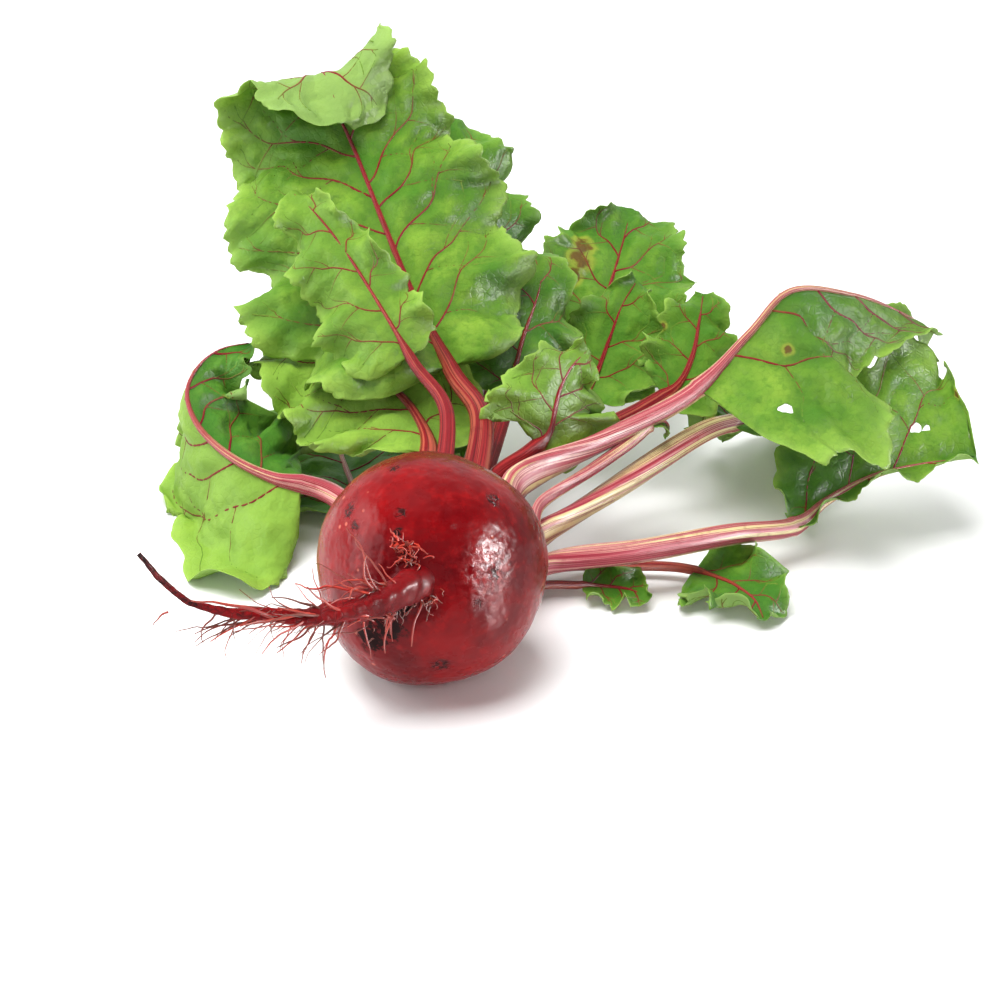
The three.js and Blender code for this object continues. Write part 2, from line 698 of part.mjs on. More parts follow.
const skinRed = new THREE.MeshStandardMaterial({ color: 0x7d1220, roughness: 0.38 });
const stalkPink = new THREE.MeshStandardMaterial({ color: 0xa8203f, roughness: 0.42 });
const leafGreen = new THREE.MeshStandardMaterial({ color: 0x5f9a26, roughness: 0.48 });

function named(name, geometry, material) {
  const mesh = new THREE.Mesh(geometry, material);
  mesh.name = name;
  return mesh;
}

const beetroot = new THREE.Group();
const lines = LEAVES.map(leafLine);
const sockets = LEAVES.map((leaf, i) => solidOf(stalk(leaf, lines[i], JOINT_GAP)));
const largestPiece = (solid) => solid.decompose().sort((a, b) => b.volume() - a.volume())[0];

let root = swollenRoot().add(taperingTube(TAP_PATH.map(vector), TAP_RADII, TAP_STEPS, TAP_SIDES));
for (const rootlet of rootlets()) root = root.add(rootlet);
for (const socket of sockets) root = root.subtract(socket);
beetroot.add(named("root", geometryOfSolid(largestPiece(root)), skinRed));

// Where the stalks are pressed together at the crown, each gives way to those listed before it.
LEAVES.forEach((leaf, i) => {
  let stem = solidOf(stalk(leaf, lines[i]));
  for (const socket of sockets.slice(0, i)) stem = stem.subtract(socket);
  beetroot.add(named(`stalk_${leaf.name}`, geometryOfSolid(largestPiece(stem)), stalkPink));
  beetroot.add(named(`blade_${leaf.name}`, blade(leaf, lines[i]), leafGreen));
});

export default beetroot;
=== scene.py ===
import math

import bmesh
import bpy
import numpy as np
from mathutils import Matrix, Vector, noise


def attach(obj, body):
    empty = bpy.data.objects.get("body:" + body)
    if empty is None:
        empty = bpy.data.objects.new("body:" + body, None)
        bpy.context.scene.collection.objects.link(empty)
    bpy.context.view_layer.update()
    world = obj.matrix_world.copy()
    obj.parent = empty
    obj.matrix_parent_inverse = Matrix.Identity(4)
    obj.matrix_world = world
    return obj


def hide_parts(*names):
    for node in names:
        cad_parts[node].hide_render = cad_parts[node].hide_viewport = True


# The looks of a bunching beetroot with its tops, lying on its side.
# Sizes and places are millimetres in the part's own frame, turned into metres as meshes are made.
# The places of the lights are metres.
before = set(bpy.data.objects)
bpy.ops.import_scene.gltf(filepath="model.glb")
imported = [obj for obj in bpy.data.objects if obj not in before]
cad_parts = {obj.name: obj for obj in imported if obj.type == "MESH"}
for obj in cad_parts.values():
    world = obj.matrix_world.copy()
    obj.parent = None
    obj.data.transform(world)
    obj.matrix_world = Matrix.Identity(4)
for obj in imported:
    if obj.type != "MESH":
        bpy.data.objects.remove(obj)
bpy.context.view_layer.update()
MM = 0.001

# The swollen root, as in the solids
ROOT_RADIUS = 37.6
ROOT_FLATTENING = 0.94
ROOT_CENTRE = np.array([0, 0, 36.2])
CROWN_DIRECTION = (0.13, 0.93, -0.34)
CROWN_RISE = 3.5
CROWN_REACH = 0.1
DIMPLE_DEPTH = 1.6
DIMPLE_REACH = 0.06
DIMPLE_MIDDLE = 0.01
SHOULDERS = 0.8
LUMPS = (0.9, 0.7, 0.5)

# The tap root, as in the solids
TAP_PATH = [[1, -22, 44], [-5, -34, 49], [-14, -42, 48], [-26, -46, 46], [-38, -47, 45], [-50, -48, 47],
            [-62, -48, 48], [-72, -47, 51], [-80, -46, 58], [-86, -45, 66]]
TAP_RADII = [7, 5.2, 4, 3.4, 2.6, 1.8, 1.3, 1, 0.9, 0.7]

# The leaves, as in the solids
LEAST_BLADE = 1.6
LOBES = ((0.06, 4.3, 1), (0.045, 8.7, 2))  # each one's height, number and part of the phase
RUFFLE_RISE = 1.8
RUFFLE_START = 0.15
SMALL_RUFFLE = (0.3, 1.7, 2)
RIB_CLEARANCE = 0.75
SLIT_END = 0.8
RIB_TIP_RADIUS = 0.7
RIB_TAPER = 0.7
STALK_SINK = 4
STALK_SPREAD = 1.35
STALK_STRAIGHT = 9
STALK_TAPER = 0.8
SHEATH_WIDENING = 0.25
SHEATH_LENGTH = 16
FLATNESS_AT_CROWN = 0.55
FLATNESS_GAIN = 0.35
GROOVE_DEPTH = 0.45
GROOVE_SHARPNESS = 3
FLOOR_SOFTNESS = 5
LINE_STEPS = 240
LENGTH_STEPS = 200
STRAIGHT = 1e-6
NUDGE = 0.0001

# What a leaf has unless its row says otherwise
USUAL_LEAF = dict(
    fold_from=None, tip=0.5, early=0.62, layer=0.6, lift=[[0, 0, 0], [0, 0, 0]], slim=0.85, broad=1.05,
    ragged=1, shade=0, inner_shade=0, pale=0, outer_painted_light=0, reddens=0.5, striped=False, pucker=1, holes=(),
    spots=())

# crown is where the stalk leaves the crown: right of and above its middle. path runs on from there to
# the tip; the blade starts at its point number blade_from and folds over from fold_from on. face says
# where the upper side looks at the blade's base, middle and tip. Pairs are for the left and the right
# half: half is its width, lift the angle at which it leaves the midrib, and curl how far it turns on.
# stalk is the stalk's width at both ends, early how near its base the blade is widest, tip how pointed it
# ends, layer how high it lies, and wave the ruffles' height. slim narrows the midrib, broad widens the
# stalk, and tone sets the noise apart from other leaves'. Holes and spots are a share of the length, a
# distance from the midrib and a radius.
# pale, and the extra for the outer half, are painted light: they brighten the leaves, and left_fold's
# hanging half, that the lamps leave too dark.
# shade and inner_shade are painted shade: they darken the leaves that lie in shadow and the half inside
# left_fold's arch.
LEAVES = [{**USUAL_LEAF, **leaf} for leaf in [
    dict(name="top", crown=[4, 12], blade_from=1.1, fold_from=4, half=[56, 43], stalk=[11, 6], tip=0.4,
         path=[[16, 78, 50], [6, 101, 57], [-8, 131, 72], [-20, 159, 90], [-31, 184, 108], [-39, 199, 120],
               [-43.5, 206, 128], [-42, 198, 132], [-38, 187, 127], [-34.5, 177, 121]],
         face=[[0, -0.6, 1], [-0.15, -0.75, 0.85], [-0.16, -0.63, 0.76]], lift=[[25, 8, 0], [15, 5, -14]],
         curl=[[-60, -30, -15], [-45, -25, 0]], layer=20, wave=8, waves=3.9, phase=[0.1, 0.45], ragged=1.3,
         tone=0.11, reddens=0.6),
    dict(name="left_high", crown=[-3, 15], blade_from=1.2, half=[25, 13], stalk=[7.5, 3.8],
         path=[[4, 77, 54], [-7, 93, 64], [-16, 103, 76], [-31, 122, 93], [-43, 136, 103], [-52, 148, 106]],
         face=[[-0.1, -0.7, 0.7], [-0.3, -0.7, 0.7], [-0.3, -0.6, 0.8]],
         curl=[[-40, -30, -20], [-20, -10, 0]], early=0.5, layer=30, wave=5, waves=3.2, phase=[0.3, 0.7],
         slim=0.62, tone=0.33, pale=0.15, reddens=0.6, pucker=0.8),
    dict(name="back", crown=[-3, 5], blade_from=2, half=[30, 25], stalk=[8, 6], tip=0.45,
         path=[[10, 76, 27], [17, 105, 36], [20, 132, 46], [18, 161, 64], [12, 188, 84], [7, 208, 98],
               [0, 220, 108]],
         face=[[0, -0.5, 1], [0.1, -0.7, 0.8], [0.1, -0.7, 0.8]], lift=[[5, 0, 0], [0, -5, -5]],
         curl=[[-20, -20, -20], [-25, -20, -20]], layer=12, wave=6, waves=4.2, phase=[0.3, 0.75], tone=0.63,
         shade=0.35),
    dict(name="centre", crown=[3, 4], blade_from=1.2, half=[20, 20], stalk=[7, 5],
         path=[[19, 82, 34], [25, 108, 42], [28, 122, 50], [31, 133, 57], [35, 142, 65], [37, 149, 72],
               [34, 156, 80]],
         face=[[0, -0.9, 0.6], [0.1, -0.9, 0.5], [0.1, -0.6, 0.8]], curl=[[-20, -20, -20], [-20, -30, -30]],
         layer=14, wave=4, waves=3.1, phase=[0.2, 0.65], slim=0.75, tone=0.42, shade=0.1, pucker=0.6),
    dict(name="left_mid", crown=[-10, 9], blade_from=0, half=[40, 24], stalk=[10, 7],
         path=[[-2, 78, 38], [-8, 98, 44], [-19, 112, 49], [-32, 126, 52], [-46, 142, 52], [-58, 158, 48]],
         face=[[0.1, -0.6, 1], [0.2, -0.6, 1], [0, 0, 1]], lift=[[-5, -2, -5], [-5, -10, -10]],
         curl=[[-10, -15, -20], [0, 10, -10]], layer=34, wave=7, waves=3.6, phase=[0.6, 0.2], tone=0.87,
         pale=0.35, reddens=0.6),
    dict(name="left_fold", crown=[-15, -1], blade_from=0.5, half=[70, 34], stalk=[10, 7], tip=0.6,
         path=[[-36, 77, 22], [-56, 81, 26], [-71, 87, 31], [-83, 98, 37], [-88, 108, 45], [-85, 118, 51],
               [-77, 125, 55], [-65, 131, 55]],
         face=[[-0.1, -0.4, 1], [-0.3, -0.6, 1], [0, -0.3, 1]], lift=[[-20, -62, -72], [-32, -38, -25]],
         curl=[[-20, -10, -10], [0, 5, 20]], early=0.42, wave=8, waves=3, phase=[0, 0.5], broad=1.1,
         ragged=2.2, tone=0.29, inner_shade=0.5, outer_painted_light=0.5, reddens=0.9, striped=True),
    dict(name="centre_back", crown=[1, -8], blade_from=1.5, half=[34, 36], stalk=[8, 6], tip=0.45,
         path=[[20, 75, 16], [38, 119, 22], [52, 154, 34], [62, 184, 48], [69, 208, 60], [73, 226, 68]],
         face=[[0, -0.4, 1], [-0.1, -0.6, 1], [-0.1, -0.3, 1]], lift=[[10, 10, 10], [8, 6, 5]],
         curl=[[10, 20, 20], [0, 0, -20]], layer=3, wave=6, waves=3.8, phase=[0.7, 0.15], tone=0.53,
         shade=0.25, spots=[[0.74, -14, 5], [0.66, -14, 5.5], [0.58, -15, 4.5], [0.5, -16, 3.5]]),
    dict(name="curl", crown=[8, -2], blade_from=1.6, half=[18, 22], stalk=[7, 5],
         path=[[26, 76, 21], [44, 106, 30], [56, 132, 39], [62, 147, 48], [67, 158, 57], [73, 168, 63]],
         face=[[0, -0.7, 0.7], [0.1, -0.8, 0.6], [0.3, -0.6, 0.8]], lift=[[0, 0, 0], [0, 0, 10]],
         curl=[[20, -30, -20], [20, 40, 30]], layer=12, wave=5, waves=2.6, phase=[0.55, 0.05], slim=0.75,
         tone=0.95, shade=0.15, pucker=0.7),
    dict(name="right_back", crown=[10, 3], blade_from=2.6, half=[17, 17], stalk=[8, 6], tip=0.45,
         path=[[32, 72, 31], [54, 98, 34], [72, 110, 38], [85, 115, 45], [91, 124, 53], [94, 137, 61],
               [96, 149, 66]],
         face=[[0, -0.6, 1], [0.1, -0.9, 0.5], [0.1, -0.6, 0.8]], curl=[[-10, -30, -20], [-10, -20, -20]],
         layer=10, wave=4, waves=2.8, phase=[0.2, 0.6], slim=0.75, tone=0.21, shade=0.1, pucker=0.6,
         spots=[[0.63, -12.4, 1.6]]),
    dict(name="front", crown=[7, 9], blade_from=1.4, half=[24, 24], stalk=[8, 6], tip=0.6,
         path=[[21, 62, 36], [32, 74, 39], [39, 79, 44], [41, 80, 52], [43, 84, 59], [47, 89, 65],
               [53, 95, 69]],
         face=[[0.4, -0.8, 0.3], [0.26, -0.87, 0.2], [0.3, -0.5, 0.8]], lift=[[0, 0, 0], [0, 0, -10]],
         curl=[[-20, -30, -20], [-20, -40, -30]], early=0.42, layer=30, wave=4, waves=3.4,
         phase=[0.85, 0.3], slim=0.7, tone=0.72, pale=0.3, reddens=0.9, pucker=0.9),
    dict(name="right_high", crown=[14, 8], blade_from=2.1, half=[12, 64], stalk=[12, 7], tip=1.15,
         path=[[28, 55, 38], [57, 78, 42], [89, 97, 51], [109, 105, 70], [123, 108, 85], [145, 114, 81],
               [163, 122, 71], [178, 131, 59]],
         face=[[-0.6, 0.2, 1], [0.2, 0, 1], [0.3, 0, 1]], lift=[[-40, -50, -40], [-38, -55, -45]],
         curl=[[-20, -10, 0], [5, 5, 5]], early=0.42, layer=12, wave=5, waves=2.3, phase=[0.4, 0.15],
         broad=1.15, ragged=1.2, tone=0.37, striped=True, pucker=0.9, holes=[[0.13, 32.4, 2.4]],
         spots=[[0.27, 15, 2]]),
    dict(name="right_mid", crown=[16, -1], blade_from=2.5, half=[30, 22], stalk=[11, 7], tip=0.6,
         path=[[39, 54, 21], [64, 73, 28], [94, 101, 34], [112, 117, 30], [126, 144, 16], [134, 170, 6]],
         face=[[0, -0.2, 1], [0, 0, 1], [0, 0, 1]], lift=[[0, 0, 0], [10, -10, -10]],
         curl=[[-20, -20, -20], [-20, -10, 0]], wave=6, waves=3.4, phase=[0.5, 0.05], broad=1.3, tone=0.05,
         shade=0.5, striped=True),
    dict(name="right_low", crown=[13, -10], blade_from=3, half=[46, 7], stalk=[12, 7], tip=0.32,
         path=[[39, 45, 13], [70, 46, 17], [101, 57, 17], [124, 70, 13], [136, 79, 18], [152, 84, 25],
               [170, 86, 29], [188, 85, 32]],
         face=[[-0.2, 0, 1], [0, -0.1, 1], [0, 0, 1]], lift=[[30, 40, 40], [10, 10, 10]],
         curl=[[0, 0, -10], [0, 0, 0]], early=2, wave=3, waves=3, phase=[0.15, 0.65], broad=1.3, ragged=1.4,
         tone=0.8, shade=0.1, reddens=0.3, striped=True,
         holes=[[0.87, -36.8, 2.6], [0.74, -13.3, 1.9], [0.78, -12.3, 1.4]],
         spots=[[0.96, -24, 1.8], [0.6, -21.8, 3]]),
    dict(name="young", crown=[4.5, -14], blade_from=2.3, half=[17, 22], stalk=[5, 3.6],
         path=[[40, 54, 5], [62, 57, 4.5], [84, 56, 4.5], [98, 47, 5], [104, 38, 6], [108, 30, 6],
               [110, 21, 4]],
         face=[[0, -0.2, 1], [0.2, -0.5, 1], [0.4, -0.4, 1]], lift=[[0, 0, 0], [0, -10, -10]],
         curl=[[10, 30, 30], [10, 50, 40]], wave=5, waves=3, phase=[0.1, 0.55], ragged=1.4, tone=0.47,
         shade=0.3, reddens=0.4, pucker=0.8),
    dict(name="bud", crown=[9, -15], blade_from=1.2, half=[9, 11], stalk=[4, 3],
         path=[[34, 42, 5], [48, 44, 4.5], [58, 43, 4.5], [66, 40, 5], [73, 35, 4]],
         face=[[0, -0.4, 1], [0.2, -0.6, 0.8], [0.3, -0.5, 0.8]], lift=[[0, 0, 0], [0, -10, -10]],
         curl=[[20, 40, 40], [20, 50, 40]], early=0.55, wave=3, waves=2.1, phase=[0.3, 0.8], ragged=1.4,
         tone=0.77, shade=0.1, reddens=0.4, pucker=0.5),
    dict(name="hook", crown=[20, 4], blade_from=3, half=[6, 6], stalk=[7, 5],
         path=[[36, 53, 31], [54, 69, 36], [67, 81, 40], [74, 87, 43.5], [78.5, 90.5, 43.5],
               [81, 92.5, 40.5], [81, 93, 37]],
         face=[[-0.4, 0.2, 1], [0, -0.2, 1], [0.8, 0, 0.6]], lift=[[-10, -20, -20], [-10, -20, -20]],
         curl=[[0, 0, 0], [0, 0, 0]], early=0.55, wave=0.5, waves=2.1, phase=[0.3, 0.8], tone=0.61,
         shade=0.3, reddens=1, striped=True, pucker=0.3),
    dict(name="floor", crown=[-8, -12], blade_from=0.6, half=[32, 44], stalk=[9, 6], tip=0.6,
         path=[[-18, 70, 7], [-28, 104, 5], [-36, 138, 5], [-42, 170, 6], [-44, 200, 5]],
         face=[[0, -0.1, 1], [0, 0, 1], [0, 0, 1]], lift=[[5, 5, 0], [15, 5, 0]],
         curl=[[0, -10, -10], [10, -10, -10]], wave=6, waves=3.7, phase=[0.35, 0.9], tone=0.58, shade=0.5,
         striped=True),
]]


def unit(vectors):
    return vectors / np.linalg.norm(vectors, axis=-1, keepdims=True)


def dot(a, b):
    return (a * b).sum(-1, keepdims=True)


def turns(count):
    return np.sin(2 * np.pi * count)


def ease(share):
    share = np.clip(share, 0, 1)
    return share * share * (3 - 2 * share)


def bell(distance):
    """1 where the distance is 0, and next to nothing from 2 on."""
    return np.exp(-(distance**2))


def round_angles(sides):
    return np.arange(sides) * 2 * np.pi / sides


def along(values, share):
    """The value at a share from 0 to 1 of a list of numbers or points spread evenly over it."""
    values = np.asarray(values, float)
    place = np.clip(share, 0, 1) * (len(values) - 1)
    before = np.minimum(place.astype(int), len(values) - 2)
    weight = ease(place - before)
    if values.ndim > 1:
        weight = weight[..., None]
    return values[before] + (values[before + 1] - values[before]) * weight


def smooth_curve(points, share):
    """Points of a Catmull-Rom curve through the given ones, at shares of its parameter."""
    points = np.asarray(points, float)
    padded = np.vstack([2 * points[0] - points[1], points, 2 * points[-1] - points[-2]])
    place = np.clip(share, 0, 1) * (len(points) - 1)
    before = np.minimum(place.astype(int), len(points) - 2)
    w = (place - before)[:, None]
    a, b, c, d = (padded[before + i] for i in range(4))
    leaving, arriving = (c - a) / 2, (d - b) / 2
    return ((2 * b - 2 * c + leaving + arriving) * w**3
            + (-3 * b + 3 * c - 2 * leaving - arriving) * w**2 + leaving * w + b)


CROWN_OUT = unit(np.array(CROWN_DIRECTION))
CROWN_RIGHT = unit(np.cross(CROWN_OUT, (0, 0, 1)))
CROWN_ABOVE = np.cross(CROWN_RIGHT, CROWN_OUT)


def crown_point(right, above, out):
    return ROOT_CENTRE + CROWN_RIGHT * right + CROWN_ABOVE * above + CROWN_OUT * out


class LeafLine:
    """The line that a leaf follows, with the directions of its upper and right sides."""

    def __init__(self, leaf):
        right, above = leaf["crown"]
        out = ROOT_RADIUS * ROOT_FLATTENING
        start = crown_point(right, above, out - STALK_SINK)
        leaving = crown_point(right * STALK_SPREAD, above * STALK_SPREAD, out + STALK_STRAIGHT)
        points = np.vstack([start, leaving, leaf["path"]])
        shares = np.linspace(0, 1, LENGTH_STEPS + 1)
        steps = np.linalg.norm(np.diff(smooth_curve(points, shares), axis=0), axis=1)
        lengths = np.concatenate([[0], np.cumsum(steps)])
        self.length = lengths[-1]

        def distance_to(path_point):
            return lengths[round((path_point + 2) / (len(points) - 1) * LENGTH_STEPS)]

        self.base = distance_to(leaf["blade_from"])
        fold = distance_to(leaf["fold_from"]) if leaf["fold_from"] else self.length
        distances = np.linspace(0, self.length, LINE_STEPS + 1)
        parameter = np.interp(distances, lengths, shares)
        self.middles = smooth_curve(points, parameter)
        ahead, behind = (smooth_curve(points, parameter + nudge) for nudge in (NUDGE, -NUDGE))
        self.tangents = unit(ahead - behind)
        faces = unit(np.array(leaf["face"], float))
        from_axis = unit(crown_point(right, above, 0) - ROOT_CENTRE)
        faces = np.vstack([from_axis * (-1 if from_axis @ faces[0] < 0 else 1), faces])
        past_base = (distances - self.base) / (self.length - self.base)
        place = np.where(distances > self.base, 1 + 2 * past_base, distances / self.base)
        ups = along(faces, place / 3)
        for i in range(LINE_STEPS + 1):
            if distances[i] > fold:
                ups[i] = ups[i - 1]
            ups[i] = unit(ups[i] - self.tangents[i] * (ups[i] @ self.tangents[i]))
        self.ups = ups

    def at(self, distance):
        place = np.clip(distance / self.length, 0, 1) * LINE_STEPS
        before = np.minimum(place.astype(int), LINE_STEPS - 1)
        weight = (place - before)[..., None]
        middle, tangent, up = (held[before] * (1 - weight) + held[before + 1] * weight
                               for held in (self.middles, self.tangents, self.ups))
        tangent = unit(tangent)
        up = unit(up - tangent * dot(up, tangent))
        return middle, tangent, up, np.cross(tangent, up)

    def on_blade(self, share):
        return self.at(self.base + (self.length - self.base) * np.asarray(share, float))


def rib_radius(leaf, share):
    stalk_end = leaf["stalk"][1] / 2
    return stalk_end + (RIB_TIP_RADIUS - stalk_end) * np.minimum(1, share / SLIT_END) ** RIB_TAPER


def half_width(leaf, side, share):
    outline = np.maximum(0, np.sin(np.pi * share ** leaf["early"])) ** leaf["tip"]
    phase = leaf["phase"][side]
    lobes = sum((height * turns(count * share + part * phase) for height, count, part in LOBES), 1)
    least = rib_radius(leaf, share) + RIB_CLEARANCE + LEAST_BLADE
    return np.maximum(leaf["half"][side] * outline * lobes, least)


def rest(points, layer):
    """Presses points down softly onto the surface that their leaf lies on."""
    top = layer + FLOOR_SOFTNESS
    z = points[..., 2]
    low = layer + FLOOR_SOFTNESS * np.exp(np.minimum(z - top, 0) / FLOOR_SOFTNESS)
    points[..., 2] = np.where(z < top, low, z)
    return points


def half_points(leaf, line, side, share, reach):
    middle, _, up, right = line.on_blade(share)
    width = half_width(leaf, side, share)
    outwards = right * (1 if side else -1)
    lift = np.radians(along(leaf["lift"][side], share))
    bend = np.radians(along(leaf["curl"][side], share)) / width
    straight = np.abs(bend) < STRAIGHT
    safe = np.where(straight, 1, bend)
    angle = lift + bend * reach
    away = np.where(straight, reach * np.cos(lift), (np.sin(angle) - np.sin(lift)) / safe)
    raised = np.where(straight, reach * np.sin(lift), (np.cos(lift) - np.cos(angle)) / safe)
    height, count, phase = leaf["wave"], leaf["waves"], leaf["phase"][side]
    small, finer, part = SMALL_RUFFLE
    ripple = turns(count * share + phase) + small * turns(finer * count * share + part * phase)
    ruffle = height * (reach / width) ** RUFFLE_RISE * ripple * ease(share / RUFFLE_START)
    point = (middle + outwards * (away - ruffle * np.sin(angle))[..., None]
             + up * (raised + ruffle * np.cos(angle))[..., None])
    return rest(point, leaf["layer"])


def blade_points(leaf, line, share, reach):
    """Points of a blade's mid surface at shares of its length; reach is negative on the left half."""
    left, right = (half_points(leaf, line, side, share, np.abs(reach)) for side in (0, 1))
    return np.where((reach > 0)[..., None], right, left)


def add_object(name, data):
    made = bpy.data.objects.new(name, data)
    bpy.context.scene.collection.objects.link(made)
    return made


class Builder:
    """Gathers faces, and numbers that its material reads at each point, into one mesh."""

    def __init__(self, *values):
        self.points, self.faces, self.values, self.count = [], [], {name: [] for name in values}, 0

    def add(self, points, faces, **values):
        points = np.asarray(points, float).reshape(-1, 3)
        self.points.append(points)
        self.faces += [tuple(int(corner) + self.count for corner in face) for face in faces]
        self.count += len(points)
        for name, held in self.values.items():
            given = np.asarray(values[name], float)
            wanted = (len(points), 3) if given.ndim > 1 else (len(points),)
            held.append(np.broadcast_to(given, wanted))

    def piece(self, name, material):
        mesh = bpy.data.meshes.new(name)
        mesh.from_pydata(np.vstack(self.points) * MM, [], self.faces)
        for key, held in self.values.items():
            held = np.concatenate(held)
            vector = held.ndim == 2
            layer = mesh.attributes.new(key, "FLOAT_VECTOR" if vector else "FLOAT", "POINT")
            layer.data.foreach_set("vector" if vector else "value", held.ravel())
        mesh.polygons.foreach_set("use_smooth", [True] * len(mesh.polygons))
        mesh.materials.append(material)
        mesh.update()
        return add_object(name, mesh)


def loft_faces(rings, sides):
    """Faces of a closed tube through rings of points, with a fan to an extra point at each end."""
    faces = []
    for ring in range(rings - 1):
        for side in range(sides):
            a, b = ring * sides + side, ring * sides + (side + 1) % sides
            faces.append((a, b, b + sides, a + sides))
    start, end, last = rings * sides, rings * sides + 1, (rings - 1) * sides
    for side in range(sides):
        after = (side + 1) % sides
        faces += [(after, side, start), (last + side, last + after, end)]
    return faces


FIRST_ACROSS = (0.3, 0.2, 1.0)


def carried_frames(middles):
    """Two directions across a line at each of its points, carried along it without twist."""
    tangents = unit(np.gradient(middles, axis=0))
    across = np.array(FIRST_ACROSS)
    firsts = []
    for tangent in tangents:
        across = unit(across - tangent * (across @ tangent))
        firsts.append(across)
    firsts = np.array(firsts)
    return firsts, np.cross(tangents, firsts)


def add_tube(builder, middles, radii, sides, relief=None, **values):
    """Adds a round tube along a line of points to a builder."""
    middles = np.asarray(middles, float)
    radii = np.broadcast_to(radii, len(middles))
    first, second = carried_frames(middles)
    angles = round_angles(sides)
    spread = radii[:, None] * (np.ones((len(middles), sides)) if relief is None else relief)
    rings = (middles[:, None] + first[:, None] * (spread * np.cos(angles))[..., None]
             + second[:, None] * (spread * np.sin(angles))[..., None])
    points = np.vstack([rings.reshape(-1, 3), middles[0], middles[-1]])
    spread_values = {}
    for name, value in values.items():
        value = np.asarray(value, float)
        if value.ndim:
            value = np.concatenate([np.repeat(value, sides), [value[0], value[-1]]])
        spread_values[name] = value
    builder.add(points, loft_faces(len(middles), sides), **spread_values)


# The finishes


def srgb(red, green, blue):
    """A colour as seen on a screen, 0 to 255, as the linear one that shaders take."""
    parts = [value / 255 for value in (red, green, blue)]
    return tuple(p / 12.92 if p <= 0.04045 else ((p + 0.055) / 1.055) ** 2.4 for p in parts) + (1,)


class Finish:
    """A node material, and short ways to add nodes to it."""

    def __init__(self, name):
        self.material = bpy.data.materials.new(name)
        self.material.use_nodes = True
        self.tree = self.material.node_tree
        self.tree.nodes.clear()
        self.output = self.tree.nodes.new("ShaderNodeOutputMaterial")
        self.place = self.add("ShaderNodeTexCoord").outputs["Object"]
        self.colour = None

    def add(self, kind, inputs=None, **settings):
        node = self.tree.nodes.new(kind)
        for name, value in settings.items():
            setattr(node, name, value)
        for name, value in (inputs or {}).items():
            if isinstance(value, bpy.types.NodeSocket):
                self.tree.links.new(value, node.inputs[name])
            else:
                node.inputs[name].default_value = value
        return node

    def value(self, name):
        return self.add("ShaderNodeAttribute", attribute_name=name).outputs["Fac"]

    def vector(self, name):
        return self.add("ShaderNodeAttribute", attribute_name=name).outputs["Vector"]

    def stretched(self, vector, scale):
        return self.add("ShaderNodeVectorMath", {0: vector, 1: scale}, operation="MULTIPLY").outputs[0]

    def noise(self, scale, detail=3, roughness=0.55, vector=None, distortion=0):
        return self.add("ShaderNodeTexNoise", {
            "Vector": vector or self.place, "Scale": scale, "Detail": detail, "Roughness": roughness,
            "Distortion": distortion}).outputs["Fac"]

    def ramp(self, value, low, high, to_low=0.0, to_high=1.0):
        return self.add("ShaderNodeMapRange", {
            "Value": value, "From Min": low, "From Max": high, "To Min": to_low, "To Max": to_high},
            interpolation_type="SMOOTHSTEP").outputs[0]

    def voronoi(self, scale, feature):
        return self.add("ShaderNodeTexVoronoi", {
            "Vector": self.place, "Scale": scale}, feature=feature).outputs["Distance"]

    def maths(self, operation, a, b):
        return self.add("ShaderNodeMath", {0: a, 1: b}, operation=operation).outputs[0]

    def plus(self, a, b):
        return self.maths("ADD", a, b)

    def minus(self, a, b):
        return self.maths("SUBTRACT", a, b)

    def times(self, a, b):
        return self.maths("MULTIPLY", a, b)

    def mix(self, share, a, b):
        return self.add("ShaderNodeMix", {0: share, 6: a, 7: b}, data_type="RGBA").outputs[2]

    def tint(self, share, red, green, blue):
        """Mixes a share of a screen colour into the finish's own colour."""
        self.colour = self.mix(share, self.colour, srgb(red, green, blue))

    def bump(self, height, strength, distance):
        return self.add("ShaderNodeBump", {
            "Height": height, "Strength": strength, "Distance": distance}).outputs[0]

    def shader(self, **inputs):
        named = {name.replace("_", " "): value for name, value in inputs.items()}
        return self.add("ShaderNodeBsdfPrincipled", named).outputs[0]

    def finish(self, shader):
        self.tree.links.new(shader, self.output.inputs["Surface"])
        return self.material


